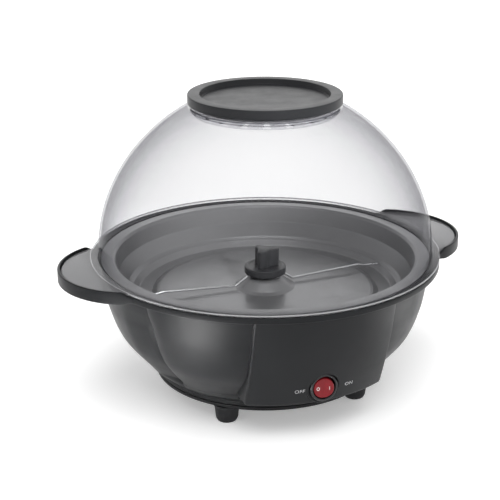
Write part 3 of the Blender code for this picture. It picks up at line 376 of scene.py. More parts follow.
def solid(name, points, faces, material, sharp=40.0):
    """One closed mesh object, smooth except at edges sharper than the given angle."""
    mesh = bpy.data.meshes.new(name)
    mesh.from_pydata([tuple(p) for p in points], [], faces)
    work = bmesh.new()
    work.from_mesh(mesh)
    bmesh.ops.remove_doubles(work, verts=work.verts, dist=1e-6)
    bmesh.ops.dissolve_degenerate(work, edges=work.edges, dist=1e-6)
    bmesh.ops.recalc_face_normals(work, faces=work.faces)
    work.to_mesh(mesh)
    work.free()
    mesh.shade_smooth()
    mesh.set_sharp_from_angle(angle=math.radians(sharp))
    mesh.materials.append(material)
    obj = bpy.data.objects.new(name, mesh)
    bpy.context.scene.collection.objects.link(obj)
    return obj


def skin(name, loops, material, joined=True, sharp=40.0, place=None):
    """Skins equal-length loops in order; a joined stack closes on itself as a ring does."""
    count = len(loops[0])
    points = [p for loop in loops for p in loop]
    if place is not None:
        points = [place @ p for p in points]
    faces = []
    steps = len(loops) if joined else len(loops) - 1
    for k in range(steps):
        low = k * count
        high = (k + 1) % len(loops) * count
        for i in range(count):
            j = (i + 1) % count
            faces.append((low + i, low + j, high + j, high + i))
    if not joined:
        faces.append(tuple(range(count)))
        faces.append(tuple((len(loops) - 1) * count + i for i in range(count)))
    return solid(name, points, faces, material, sharp)


def rounded(corners, steps=4, ring=True):
    """Profile points from (radius, height, rounding) corners, each rounding made an arc."""
    profile = []
    count = len(corners)
    for k, corner in enumerate(corners):
        here = Vector(corner[:2])
        size = corner[2] if len(corner) > 2 else 0.0
        if size == 0.0 or (not ring and k in (0, count - 1)):
            profile.append(here)
            continue
        before = Vector(corners[k - 1][:2]) - here
        after = Vector(corners[(k + 1) % count][:2]) - here
        half = before.angle(after, math.pi) / 2
        reach = min(size / max(math.tan(half), 0.05), 0.48 * before.length, 0.48 * after.length)
        start = here + before.normalized() * reach
        end = here + after.normalized() * reach
        for i in range(steps + 1):
            t = i / steps
            profile.append(start * (1 - t) ** 2 + here * (2 * t * (1 - t)) + end * t * t)
    return profile


def lathe(name, corners, material, segments=FINE, place=None, steps=4, sharp=40.0):
    """Turns a rounded profile about Z; one that starts and ends on the axis has no bore."""
    ring = corners[0][0] > 0
    profile = rounded(corners, steps, ring)
    points = []
    rings = []
    for radius, height in profile:
        count = segments if radius > 1e-9 else 1
        rings.append([len(points) + i for i in range(count)])
        for i in range(count):
            points.append(polar(radius, TURN * i / segments, height))
    faces = []
    last = len(profile) if ring else len(profile) - 1
    for k in range(last):
        low = rings[k]
        high = rings[(k + 1) % len(rings)]
        if len(low) == 1 and len(high) == 1:
            continue
        for i in range(segments):
            j = (i + 1) % segments
            around = [low[i % len(low)], low[j % len(low)], high[j % len(high)], high[i % len(high)]]
            faces.append(tuple(dict.fromkeys(around)))
    if place is not None:
        points = [place @ p for p in points]
    return solid(name, points, faces, material, sharp)


def block(name, outline, low, high, material, place=None):
    loops = [[Vector((x, y, z)) for x, y in outline] for z in (low, high)]
    return skin(name, loops, material, joined=False, place=place)


def circle(radius, count, centre=(0.0, 0.0), turn=0.0):
    angles = [turn + TURN * i / count for i in range(count)]
    return [(centre[0] + radius * math.cos(a), centre[1] + radius * math.sin(a)) for a in angles]


def cut(obj, others, operation="DIFFERENCE", sharp=40.0):
    """Applies Booleans with the other objects at once and removes them."""
    for other in others:
        step = obj.modifiers.new("cut", "BOOLEAN")
        step.operation = operation
        step.solver = "EXACT"
        step.object = other
    graph = bpy.context.evaluated_depsgraph_get()
    made = bpy.data.meshes.new_from_object(obj.evaluated_get(graph), depsgraph=graph)
    obj.modifiers.clear()
    old = obj.data
    material = old.materials[0]
    obj.data = made
    made.materials.clear()
    made.materials.append(material)
    for polygon in made.polygons:
        polygon.material_index = 0
    made.shade_smooth()
    made.set_sharp_from_angle(angle=math.radians(sharp))
    bpy.data.meshes.remove(old)
    for other in others:
        bpy.data.objects.remove(other, do_unlink=True)


def wear(piece, body, slot, *nodes):
    """Says what a piece rides on and the CAD nodes that it stands for; slot, the finish, is not used.
    """
    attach(piece, body)
    if nodes:
        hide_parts(*nodes)


def facing_front(height, side=-1.0):
    """Carries +Z to the front (side -1) or the rear (side +1), at a height above the floor."""
    return Matrix.Translation((0, 0, height)) @ Matrix.Rotation(-side * math.pi / 2, 4, "X")


# --- rim, handles and dome ---

def quarter_turn():
    """Directions from +X to +Y in radians, closest together where a handle meets the rim."""
    stops = []
    for start, end, steps in ((0.0, 17.0, 14), (17.0, 29.0, 26), (29.0, 90.0, 30)):
        stops += [math.radians(start + (end - start) * i / steps) for i in range(steps)]
    return stops + [math.pi / 2]


QUARTER = quarter_turn()
HALF = QUARTER + [math.pi - a for a in reversed(QUARTER[:-1])]
AROUND = HALF + [TURN - a for a in reversed(HALF[1:-1])]


def outline(radius):
    """Distance from the middle to the round rim or to a handle's round end, softly joined."""
    reaches = []
    for angle in AROUND:
        across = abs(HANDLE_OFFSET * math.sin(angle))
        end = 0.0
        if across < radius:
            end = abs(HANDLE_OFFSET * math.cos(angle)) + math.sqrt(radius ** 2 - across ** 2)
        near = max(CORNER_BLEND - abs(end - RIM_RADIUS), 0.0) / CORNER_BLEND
        reaches.append(max(end, RIM_RADIUS) + near ** 2 * CORNER_BLEND / 4)
    return reaches


def swept(name, profiles, material, sharp=40.0):
    """Skins one closed (radius, height) profile per direction round the middle."""
    loops = []
    for k in range(len(profiles[0])):
        loops.append([
            polar(profile[k][0], angle, profile[k][1]) for angle, profile in zip(AROUND, profiles)
        ])
    return skin(name, loops, material, sharp=sharp)


def make_band():
    """Band under the dome's flange with a walled tray at each side as a handle."""
    ledge = 0.1422
    ledge_height = BAND_TOP - 0.0017
    lip_inner = 0.1336
    lip_outer = 0.1360
    profiles = []
    for reach in outline(HANDLE_RADIUS):
        share = min(1.0, max(0.0, (reach - RIM_RADIUS - WALL_START) / (WALL_FULL - WALL_START)))
        share = share * share * (3 - 2 * share)
        top = BAND_TOP + HANDLE_RISE * share
        bottom = BAND_BOTTOM - HANDLE_DROP * share
        under = BAND_BOTTOM + 0.0025 * share + 0.00005
        inside = reach - HANDLE_WALL
        profiles.append(rounded([
            (reach, bottom, 0.0008), (reach, top, 0.0009), (inside, top + 0.00005, 0.0006),
            (inside - 0.0001, BAND_TOP, 0.0004), (ledge, BAND_TOP, 0.0003),
            (ledge, ledge_height, 0.0002), (lip_inner, ledge_height, 0.0004),
            (lip_inner, RING_LOW.z, 0.0003),
            (lip_outer, RING_LOW.z, 0.0003), (lip_outer, BAND_BOTTOM, 0.0002),
            (0.1455, BAND_BOTTOM, 0.0001), (0.1457, under, 0.0001), (inside, under, 0.0001),
            (inside + 0.0001, bottom, 0.0004),
        ], 3))
    band = swept("rim_band", profiles, M_BAND)
    wear(band, "base", "ring_plastic", "top_ring")


def dome_radius(height, offset):
    rise = max(0.0, height - DOME_CENTRE) / (DOME_HEIGHT - offset)
    return (DOME_RADIUS - offset) * (1 - rise ** DOME_POWER) ** (1 / DOME_POWER)


def make_dome():
    """Clear dome with a flange, a tab in each handle tray and a short neck."""
    flange_top = DOME_LOW.z + FLANGE_THICK
    mouth = NECK_RADIUS - 0.0018
    shoulder = DOME_HIGH.z - 0.0026
    outer = []
    inner = []
    rows = 44
    for i in range(rows + 1):
        share = 1 - (1 - i / rows) ** 1.35
        high = flange_top + 0.0035 + (shoulder - 0.0012 - flange_top - 0.0035) * share
        outer.append((dome_radius(high, 0.0), high))
        low = flange_top + 0.0012 + (shoulder - 0.0030 - flange_top - 0.0012) * share
        inner.append((dome_radius(low, DOME_WALL), low))
    profiles = []
    for reach in outline(TAB_RADIUS):
        corners = [
            (reach, DOME_LOW.z, 0.0004), (reach, flange_top, 0.0007),
            (DOME_RADIUS + 0.0003, flange_top, 0.0012),
        ]
        corners += outer
        corners += [
            (NECK_RADIUS + 0.0012, shoulder, 0.0006), (NECK_RADIUS, shoulder + 0.0005, 0.0003),
            (NECK_RADIUS, DOME_HIGH.z, 0.0004), (mouth, DOME_HIGH.z, 0.0004),
            (mouth, shoulder - 0.0012, 0.0008),
        ]
        corners += reversed(inner)
        corners.append((DOME_RADIUS - DOME_WALL, DOME_LOW.z, 0.0005))
        profiles.append(rounded(corners, 3))
    dome = swept("dome_shell", profiles, M_DOME, sharp=50.0)
    wear(dome, "dome", "clear_plastic", "dome_cover")


def make_vent_insert():
    """Clear slotted cup in the dome's neck, with ribs round its wall."""
    wall = 0.0605
    inner = wall - 0.0018
    floor_top = GRILLE_LOW.z + 0.0018
    lip = DOME_HIGH.z + 0.0003
    flange = NECK_RADIUS - 0.0001
    insert = lathe("vent_insert", [
        (0, GRILLE_LOW.z), (wall, GRILLE_LOW.z, 0.0012), (wall, lip, 0.0002), (flange, lip, 0.0003),
        (flange, GRILLE_HIGH.z, 0.0003), (inner, GRILLE_HIGH.z, 0.0004), (inner, floor_top, 0.0010),
        (0, floor_top),
    ], M_GRILLE)
    cutters = []
    slots = 18
    slot = [(0.030, -0.0016), (0.055, -0.0032), (0.055, 0.0032), (0.030, 0.0016)]
    near, far, half = wall - 0.0007, wall + 0.002, 0.0075
    window = [(near, -half), (far, -half), (far, half), (near, half)]
    below = GRILLE_LOW.z - 0.001
    above = floor_top + 0.001
    for i in range(slots):
        turn = Matrix.Rotation(TURN * (i + 0.5) / slots + 0.004, 4, "Z")
        cutters.append(block(f"cut_slot_{i}", slot, below, above, M_GRILLE, turn))
        cutters.append(block(f"cut_window_{i}", window, lip - 0.0046, lip - 0.0012, M_GRILLE, turn))
    cut(insert, cutters)
    wear(insert, "dome", "clear_plastic", "vent_grille")


def make_cap():
    """Dark cap with a broad round-edged ring and a sunk flat middle."""
    floor_top = CAP_HIGH.z - 0.0045
    floor_bottom = floor_top - 0.0018
    shoulder = GRILLE_HIGH.z + 0.0003
    bottom = DOME_HIGH.z + 0.0003
    bore = NECK_RADIUS + 0.0006
    rim = CAP_HIGH.x
    cap = lathe("cap_lid", [
        (0, floor_top), (0.0535, floor_top, 0.0007), (0.0546, CAP_HIGH.z, 0.0010),
        (rim, CAP_HIGH.z, 0.0012), (rim, bottom, 0.0007), (bore, bottom, 0.0002),
        (bore, shoulder, 0.0002), (0.0577, shoulder, 0.0003), (0.0575, CAP_LOW.z, 0.0004),
        (0.0555, CAP_LOW.z, 0.0004), (0.0553, floor_bottom, 0.0006), (0, floor_bottom),
    ], M_CAP)
    wear(cap, "cap", "cap_plastic", "vent_cap")


# --- base shell ---

PETAL = [
    (SHELL_RING_TOP, 0.0967), (0.0290, 0.1040), (0.0350, 0.1090), (0.0450, 0.1177), (0.0560, 0.1262),
    (0.0670, 0.1318), (0.0780, 0.1357), (0.0890, 0.1387), (0.1154, 0.1425),
]


def petal_radius(height):
    """Bowl radius at a height, along a smooth curve through the outline's stations."""
    height = min(max(height, PETAL[0][0]), PETAL[-1][0])
    for k in range(len(PETAL) - 1):
        low, low_radius = PETAL[k]
        high, high_radius = PETAL[k + 1]
        if height <= high:
            break
    span = high - low
    t = (height - low) / span

    def slope(i):
        first = PETAL[max(0, i - 1)]
        second = PETAL[min(len(PETAL) - 1, i + 1)]
        return (second[1] - first[1]) / (second[0] - first[0])

    start = slope(k) * span
    end = slope(k + 1) * span
    rise = high_radius - low_radius
    curve = (3 * rise - 2 * start - end) * t ** 2 + (start + end - 2 * rise) * t ** 3
    return low_radius + start * t + curve


def panel_radius(height):
    share = (height - PANEL_BOTTOM) / (SHELL_HIGH.z - PANEL_BOTTOM)
    lean = PANEL_BOTTOM_RADIUS + (PANEL_TOP_RADIUS - PANEL_BOTTOM_RADIUS) * share
    return lean + PANEL_BULGE * math.sin(math.pi * share)


def panel_half_width(height):
    short = PANEL_CORNER - min(PANEL_CORNER, max(height - PANEL_BOTTOM, 0.0))
    return PANEL_HALF_WIDTH - (PANEL_CORNER - math.sqrt(PANEL_CORNER ** 2 - short ** 2))


def crease(angle, height):
    """Depth of the groove between two petals, steep towards the front; angles are from the front."""
    past = angle - PETAL_CREASE
    width = CREASE_SIDE if past > 0 else CREASE_FRONT
    share = max(0.0, 1.0 - abs(past) / width)
    share = share ** 1.2 if past > 0 else 1 - math.sqrt(1 - share * share)
    fade = min(1.0, max(CREASE_TOP_SHARE, (SHELL_HIGH.z - height) / CREASE_FADE))
    fade *= min(1.0, max(0.0, height - SHELL_RING_TOP) / CREASE_FOOT_FADE)
    return CREASE_DEPTH * fade * share


def recede(angle, first, height):
    """How far a front petal falls back from its middle towards its edges."""
    middle = (first + PETAL_CREASE) / 2
    fade = min(1.0, max(0.0, height - SHELL_RING_TOP) / CREASE_FOOT_FADE)
    fade *= min(1.0, max(0.35, (SHELL_HIGH.z - height) / CREASE_FADE))
    if angle > PETAL_CREASE:
        past = (angle - PETAL_CREASE) / (math.pi / 2 - PETAL_CREASE)
        return PETAL_RECEDE * fade * (1 - past) ** 2 * (1 + 2 * past) * 0.6
    return PETAL_RECEDE * fade * ((angle - middle) / (middle - PETAL_CREASE)) ** 2


def shell_quarter(height, wall, inset):
    """Points (x, y) from the front panel's middle round to the side; inset draws the panel in."""
    bowl = petal_radius(height) - wall
    with_panel = inset is not None
    half = (panel_half_width(height) if with_panel else PANEL_HALF_WIDTH - PANEL_CORNER) - wall
    face = bowl
    if with_panel:
        half -= inset
        face = max(panel_radius(height) - wall - inset, bowl)
    foot = (half, -math.sqrt(bowl ** 2 - half ** 2))
    edge = (half, -math.sqrt(face ** 2 - half ** 2))
    step = foot[1] - edge[1]
    points = []
    panel_steps = 22
    bevel = min(PANEL_EDGE, step * 0.45)
    for i in range(panel_steps + 1):
        x = (half - bevel) * i / panel_steps
        points.append((x, -math.sqrt(face ** 2 - x ** 2)))
    start = points[-1]
    end = (half, edge[1] + bevel)
    bevel_steps = 4
    for i in range(1, bevel_steps + 1):
        t = i / bevel_steps
        points.append(tuple(
            a * (1 - t) ** 2 + b * 2 * t * (1 - t) + c * t * t for a, b, c in zip(start, edge, end)
        ))
    first = math.asin(half / bowl)
    fillet = 0.0010 / bowl
    points.append((foot[0], foot[1] - min(0.0008, step * 0.3)))
    rounding = PETAL_CREASE - CREASE_FRONT
    front_steps, crease_steps, side_steps = 22, 10, 16
    side = math.pi / 2 - PETAL_CREASE
    spots = [
        first + fillet + (rounding - first - fillet) * i / front_steps for i in range(front_steps)
    ]
    spots += [
        PETAL_CREASE - CREASE_FRONT * (1 - i / crease_steps) ** 1.5 for i in range(crease_steps + 1)
    ]
    spots += [PETAL_CREASE + side * i / side_steps for i in range(1, side_steps + 1)]
    for angle in spots:
        radius = bowl - crease(angle, height) - recede(angle, first, height)
        points.append((radius * math.sin(angle), -radius * math.cos(angle)))
    return points


def shell_loop(height, wall=0.0, inset=0.0):
    """The shell's outline all round at a height, inside by the wall if one is given."""
    quarter = shell_quarter(height, wall, inset)
    right = quarter + [(x, -y) for x, y in reversed(quarter[:-1])]
    around = right + [(-x, y) for x, y in reversed(right[1:-1])]
    return [Vector((x, y, height)) for x, y in around]


def make_base():
    """Lobed bowl with a straight-sided panel at the front and rear, open above and below."""
    floor = SHELL_LOW.z + SHELL_WALL
    top = SHELL_HIGH.z
    edge_top = PANEL_BOTTOM + PANEL_EDGE
    wall_rows, edge_rows, ring_rows = 46, 4, 8
    heights = [top - (top - edge_top) * (i / wall_rows) for i in range(wall_rows + 1)]
    loops = [shell_loop(z) for z in heights]
    for i in range(1, edge_rows + 1):
        turn = math.pi / 2 * i / edge_rows
        height = edge_top - PANEL_EDGE * math.sin(turn) + 0.00002
        loops.append(shell_loop(height, inset=PANEL_EDGE * (1 - math.cos(turn))))
    for i in range(ring_rows + 1):
        height = PANEL_BOTTOM - (PANEL_BOTTOM - SHELL_RING_TOP) * i / ring_rows
        loops.append(shell_loop(height, inset=None))
    bevel = 0.0006
    opening = 0.0850
    loops.append(shell_loop(SHELL_LOW.z + bevel, inset=None))
    loops.append([Vector((p.x, p.y, SHELL_LOW.z)) for p in shell_loop(SHELL_LOW.z, bevel, None)])
    for level in (SHELL_LOW.z, floor):
        loops.append([
            Vector((*(Vector((p.x, p.y)).normalized() * opening), level)) for p in loops[-1]
        ])
    for height in (floor, SHELL_RING_TOP + SHELL_WALL / 2, PANEL_BOTTOM + SHELL_WALL):
        loops.append(shell_loop(height, SHELL_WALL, None))
    for height in (PANEL_BOTTOM + SHELL_WALL + 0.0006, 0.040, 0.052, 0.066, 0.080, 0.098, top):
        loops.append(shell_loop(height, SHELL_WALL))
    shell = skin("base_bowl", loops, M_SHELL, sharp=SHELL_SHARP)
    add_boss(shell, facing_front(SWITCH_HEIGHT), SWITCH_HOLE)
    add_boss(shell, facing_front(SWITCH_HEIGHT, 1.0), CORD_HOLE)
    wear(shell, "base", "shell_plastic", "base_shell")


def add_boss(shell, place, hole):
    """Round boss in a hole in the panel: its face is sunk above and stands out of the panel below."""
    face = SWITCH_FACE - BEZEL_LIP
    recess = BEZEL_RADIUS + BOSS_CLEARANCE
    count = 64
    middle = place.translation.z
    upward = (place.to_3x3() @ Vector((0, 1, 0))).z

    def level(radius, depth):
        return [place @ Vector((x, y, depth)) for x, y in circle(radius, count, turn=0.013)]

    def rim(radius, below=0.0):
        points = []
        for x, y in circle(radius, count, turn=0.013):
            panel = math.sqrt(panel_radius(middle + upward * y) ** 2 - x ** 2) - 0.0003
            points.append(place @ Vector((x, y, max(face, panel) - below)))
        return points

    seat = circle((BOSS_RADIUS + recess) / 2, count, turn=0.031)
    cutter = block("seat", seat, 0.090, 0.160, M_SHELL, place)
    cut(shell, [cutter], sharp=SHELL_SHARP)
    boss = skin("boss", [
        level(BOSS_RADIUS, face - BOSS_DEPTH), rim(BOSS_RADIUS, 0.0003), rim(BOSS_RADIUS - 0.0003),
        rim(recess + 0.0003), rim(recess, 0.0003), level(recess, face - 0.0004),
        level(hole, face - 0.0004), level(hole, face - BOSS_FLOOR), level(recess, face - BOSS_FLOOR),
        level(recess, face - BOSS_DEPTH),
    ], M_SHELL, sharp=SHELL_SHARP)
    cut(shell, [boss], "UNION", SHELL_SHARP)


def make_underside():
    """Round cover with vent slots, sunk screw holes and a raised edge."""
    low = COVER_LOW.z
    below = low - 0.005
    floor_top = 0.0180
    wide = COVER_HIGH.x
    inside = 0.0800
    cover = lathe("underside_cover", [
        (0, low), (0.0700, low), (0.0706, low + 0.0004), (0.0722, low + 0.0004), (0.0728, low),
        (wide, low, 0.0009), (wide, COVER_HIGH.z, 0.0004), (inside, COVER_HIGH.z, 0.0003),
        (inside, floor_top, 0.0003), (0, floor_top),
    ], M_COVER)
    cutters = []
    for centre in circle(0.0895, 4):
        hole = circle(0.0020, 24, centre, 0.21)
        sink = circle(0.0038, 32, centre, 0.23)
        cutters.append(block("hole", hole, below, COVER_HIGH.z + 0.001, M_COVER))
        cutters.append(block("sink", sink, below, low + 0.0016, M_COVER))
    vents = 24
    vent = [(0.045, -0.0020), (0.067, -0.0020), (0.067, 0.0020), (0.045, 0.0020)]
    for i in range(vents):
        if i % 4 < 2:
            turn = Matrix.Rotation(TURN * (i + 0.4) / vents, 4, "Z")
            cutters.append(block("vent", vent, below, floor_top + 0.001, M_COVER, turn))
    cut(cover, cutters)
    wear(cover, "base", "cover_plastic", "bottom_cover")


def make_screw(name, node, head):
    """Pan-head screw pointing up, with a cross recess below."""
    low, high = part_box(node)
    x = (low.x + high.x) / 2
    y = (low.y + high.y) / 2
    place = Matrix.Translation((x, y, 0))
    shank = 0.0016
    screw = lathe(name, [
        (0, low.z), (head * 0.55, low.z, 0.0004), (head * 0.98, low.z + 0.0009, 0.0006),
        (head, low.z + 0.0019, 0.0002), (shank, low.z + 0.0021, 0.0001),
        (shank, high.z - 0.0012, 0.0003), (0.0004, high.z, 0.0002), (0, high.z),
    ], M_SCREW, 40, place)
    arms = []
    reach, half = 0.0019, 0.00036
    bar = [(-reach, -half), (reach, -half), (reach, half), (-reach, half)]
    for turn in (0.31, 0.31 + math.pi / 2):
        spin = place @ Matrix.Rotation(turn, 4, "Z")
        arms.append(block("cross", bar, low.z - 0.0005, low.z + 0.0011, M_SCREW, spin))
    cut(screw, arms)
    wear(screw, "base", "fastener_steel", node)


def make_foot(name, node):
    """Tapered rubber foot with a soft lower edge, a groove and a hollow for its screw."""
    low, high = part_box(node)
    place = Matrix.Translation(((low.x + high.x) / 2, (low.y + high.y) / 2, 0))
    top = high.z
    wide = (high.x - low.x) / 2
    well, well_top, bore = 0.0042, 0.0060, 0.0019
    foot = lathe(name, [
        (well, 0.0, 0.0003), (0.0080, 0.0, 0.0014), (0.0092, 0.0026, 0.0012),
        (0.0095, 0.0034, 0.0003), (wide - 0.0010, top - 0.0022, 0.0006),
        (wide, top - 0.0014, 0.0005), (wide, top, 0.0002), (bore, top, 0.0001),
        (bore, well_top, 0.0001), (well, well_top, 0.0002),
    ], M_FOOT, 64, place)
    wear(foot, "base", "foot_rubber", node)


def make_pan():
    """Pressed pan: flat rim, two-step wall, ridge, groove, raised disc and a cone at the shaft."""
    rim = PAN_HIGH.x
    top = PAN_HIGH.z
    under = top - 0.0016
    pan = lathe("pan_dish", [
        (rim, top - 0.0002, 0.0005), (0.1312, top, 0.0012), (0.1290, 0.1192, 0.0016),
        (0.1266, 0.1052, 0.0040), (0.1190, 0.0936, 0.0030), (0.1168, 0.0921, 0.0020),
        (0.1146, 0.0912, 0.0012), (0.1104, 0.0864, 0.0022), (0.0985, 0.0862, 0.0022),
        (0.0942, 0.0888, 0.0018), (0.0918, 0.0893, 0.0030), (0.0262, 0.0893, 0.0026),
        (0.0228, 0.0912, 0.0024), (0.0140, 0.0984, 0.0016), (0.0084, 0.0987, 0.0005),
        (0.0084, 0.0971, 0.0003), (0.0133, 0.0969, 0.0012), (0.0221, 0.0896, 0.0020),
        (0.0256, 0.0877, 0.0020), (0.0915, 0.0877, 0.0020), (0.0932, 0.0873, 0.0012),
        (0.0980, 0.0846, 0.0016), (0.1108, 0.0848, 0.0016), (0.1160, 0.0896, 0.0010),
        (0.1178, 0.0905, 0.0010), (0.1200, 0.0921, 0.0020), (0.1282, 0.1047, 0.0030),
        (0.1304, 0.1182, 0.0012), (0.1316, under, 0.0010), (rim, under + 0.0002, 0.0004),
    ], M_PAN, 192, steps=6)
    wear(pan, "base", "pan_coating", "popping_pan")


# --- stirrer ---

def make_stirrer():
    """Hub disc with a three-winged grip on top and two bent wire arms."""
    disc = HUB_HIGH.x
    top = HUB_HIGH.z
    neck = 0.0130
    disc_low = 0.1018
    socket = 0.0038
    socket_top = 0.1055
    hub = lathe("hub_disc", [
        (0, socket_top), (socket, socket_top), (socket, HUB_LOW.z, 0.0003),
        (neck, HUB_LOW.z, 0.0010), (neck, disc_low, 0.0006), (disc, disc_low, 0.0010),
        (disc, top, 0.0009), (disc - 0.0030, top, 0.0003), (disc - 0.0034, top - 0.0003, 0.0003),
        (0, top - 0.0003),
    ], M_STIR)
    wear(hub, "stirrer", "stirrer_plastic", "stirrer_hub")

    tip = 0.0120
    waist = 0.0064
    wings = 3
    first_wing = math.radians(-12)
    loops = []
    count = 96
    for level, inset in (
        (KNOB_LOW.z, 0.0), (KNOB_HIGH.z - 0.0009, 0.0), (KNOB_HIGH.z - 0.0003, 0.00025),
        (KNOB_HIGH.z, 0.0009),
    ):
        loop = []
        for i in range(count):
            angle = TURN * i / count
            wing = (1 + math.cos(wings * (angle - first_wing))) / 2
            radius = waist + (tip - waist) * wing ** 1.5 - inset
            loop.append(polar(radius, angle, level))
        loops.append(loop)
    grip = skin("wing_grip", loops, M_STIR, joined=False)
    wear(grip, "stirrer", "stirrer_plastic", "stirrer_knob")

    stops = [
        (0.01345, 0.1004), (0.0160, 0.0994), (0.0263, 0.0922), (0.0275, 0.0920), (0.0905, 0.0940),
        (0.0930, 0.0938), (0.1010, 0.0922), (0.1135, 0.0921),
    ]
    route = rounded([(r, z, 0.004) for r, z in stops], 5, ring=False)
    sweep = math.radians(3.5)
    for name, node, side in (
        ("wire_arm_left", "stirrer_arm_left", -1), ("wire_arm_right", "stirrer_arm_right", 1),
    ):
        along = Vector((side * math.cos(sweep), math.sin(sweep), 0))
        arm = rod(name, [along * r + Vector((0, 0, z)) for r, z in route], 0.0010, M_CHROME)
        wear(arm, "stirrer", "arm_chrome", node)


def rod(name, route, radius, material, sides=20):
    """Round wire along a route, with domed ends."""
    loops = []
    count = len(route)
    for k, place in enumerate(route):
        ahead = (route[min(k + 1, count - 1)] - route[max(k - 1, 0)]).normalized()
        across = ahead.cross(Vector((0, 0, 1))).normalized()
        up = across.cross(ahead)
        ends = [(0.0, 1.0)]
        if k == 0:
            ends = [(-0.55, 0.45), (-0.30, 0.80), (0.0, 1.0)]
        if k == count - 1:
            ends = [(0.0, 1.0), (0.30, 0.80), (0.55, 0.45)]
        for shift, share in ends:
            middle = place + ahead * shift * radius
            size = radius * share
            loops.append([
                middle + across * size * math.cos(turn) + up * size * math.sin(turn)
                for turn in (TURN * i / sides for i in range(sides))
            ])
    return skin(name, loops, material, joined=False)


def make_shaft():
    """Round drive shaft with a thinner foot, and the brass sleeve round it."""
    radius = SHAFT_HIGH.x
    thin, step = 0.0013, 0.0532
    shaft = lathe("drive_spindle", [
        (0, SHAFT_LOW.z), (thin, SHAFT_LOW.z, 0.0002), (thin, step, 0.0001), (radius, step, 0.0003),
        (radius, 0.0988, 0.0002), (radius - 0.0004, SHAFT_HIGH.z - 0.0008, 0.0003),
        (radius - 0.0010, SHAFT_HIGH.z, 0.0003), (0, SHAFT_HIGH.z),
    ], M_STEEL, 48)
    wear(shaft, "drive", "plated_steel", "drive_shaft")
    bore = radius + 0.0003
    collar = 0.0968
    outer = BUSHING_HIGH.x
    sleeve = lathe("bushing_sleeve", [
        (bore, BUSHING_LOW.z, 0.0003), (outer, BUSHING_LOW.z, 0.0004), (outer, collar, 0.0003),
        (0.0081, collar, 0.0002), (0.0081, BUSHING_HIGH.z, 0.0004), (bore, BUSHING_HIGH.z, 0.0004),
    ], M_BRASS, 72)
    wear(sleeve, "base", "brass", "shaft_bushing")


# --- switch and grommet ---

def make_switch():
    """Round panel switch: bezel with its barrel, tilted rocker key and the marks on it."""
    place = facing_front(SWITCH_HEIGHT)
    back = -SWITCH_HIGH.y
    rear = SWITCH_FACE - BEZEL_LIP + 0.0003
    front = SWITCH_FACE + 0.0006
    floor = back + 0.0060
    well = 0.0096
    barrel = 0.0103
    bezel = lathe("switch_bezel", [
        (0, back), (barrel, back, 0.0004), (barrel, rear, 0.0001), (BEZEL_RADIUS, rear, 0.0001),
        (BEZEL_RADIUS, SWITCH_FACE - 0.0002, 0.0003), (BEZEL_RADIUS - 0.0007, front, 0.0005),
        (well + 0.0004, front, 0.0004), (well, SWITCH_FACE, 0.0003), (well, floor, 0.0003),
        (0, floor),
    ], M_SWITCH, 96, place)
    wear(bezel, "base", "switch_plastic", "switch_body")

    pivot = Vector((0, -(SWITCH_FACE - 0.0040), SWITCH_HEIGHT))
    tilt = Matrix.Translation(pivot) @ Matrix.Rotation(-math.radians(9.0), 4, "Z")
    size = 0.0085
    dish = 0.10
    sides = 72
    loops = []
    for share, depth in (
        (0.90, 0.0045), (1.0, 0.0036), (1.0, -0.0042), (0.985, -0.0046), (0.95, -0.0049),
        (0.80, -0.0050), (0.55, -0.00495), (0.30, -0.0048), (0.08, -0.0047),
    ):
        loop = []
        for i in range(sides):
            angle = TURN * i / sides
            x = size * share * math.cos(angle)
            z = size * share * math.sin(angle)
            lift = (dish if depth < 0 else dish / 2) * abs(x)
            loop.append(tilt @ Vector((x, depth - lift, z)))
        loops.append(loop)
    key = skin("rocker_key", loops, M_ROCKER, joined=False)
    wear(key, "rocker", "rocker_red", "switch_rocker")

    def on_key(x, z, raised):
        """A point on the rocker's face, a little proud of it."""
        return tilt @ Vector((x, -0.0049 - dish * abs(x) - raised, z))

    sunk = -0.0003
    proud = 0.00008
    ring_loops = []
    for radius, raised in ((0.0013, sunk), (0.0013, proud), (0.0009, proud), (0.0009, sunk)):
        ring_loops.append([
            on_key(-0.0047 + x, z * 1.15, raised) for x, z in circle(radius, 32)
        ])
    mark = skin("rocker_mark_off", ring_loops, M_MARK)
    wear(mark, "rocker", "rocker_red")
    corners = ((0.0045, -0.0014), (0.0049, -0.0014), (0.0049, 0.0014), (0.0045, 0.0014))
    bar = [[on_key(x, z, raised) for x, z in corners] for raised in (sunk, proud)]
    stroke = skin("rocker_mark_on", bar, M_MARK, joined=False)
    wear(stroke, "rocker", "rocker_red")


def make_label(name, text, x, height, size):
    """Printed word on the leaning panel, a thin raised film."""
    curve = bpy.data.curves.new(name, "FONT")
    curve.body = text
    curve.size = size
    curve.align_x = "CENTER"
    curve.align_y = "CENTER"
    curve.extrude = 0.00012
    curve.offset = -0.00008
    curve.resolution_u = 4
    curve.space_character = 1.08
    maker = bpy.data.objects.new(name + "_maker", curve)
    bpy.context.scene.collection.objects.link(maker)
    graph = bpy.context.evaluated_depsgraph_get()
    mesh = bpy.data.meshes.new_from_object(maker.evaluated_get(graph))
    bpy.data.objects.remove(maker, do_unlink=True)
    for vertex in mesh.vertices:
        across = x + vertex.co.x
        rise = height + vertex.co.y
        face = panel_radius(rise)
        depth = -math.sqrt(face ** 2 - across ** 2)
        vertex.co = Vector((across, depth - vertex.co.z + 0.00004, rise))
    mesh.materials.clear()
    mesh.materials.append(M_LABEL)
    label = bpy.data.objects.new(name, mesh)
    bpy.context.scene.collection.objects.link(label)
    wear(label, "base", "shell_plastic")


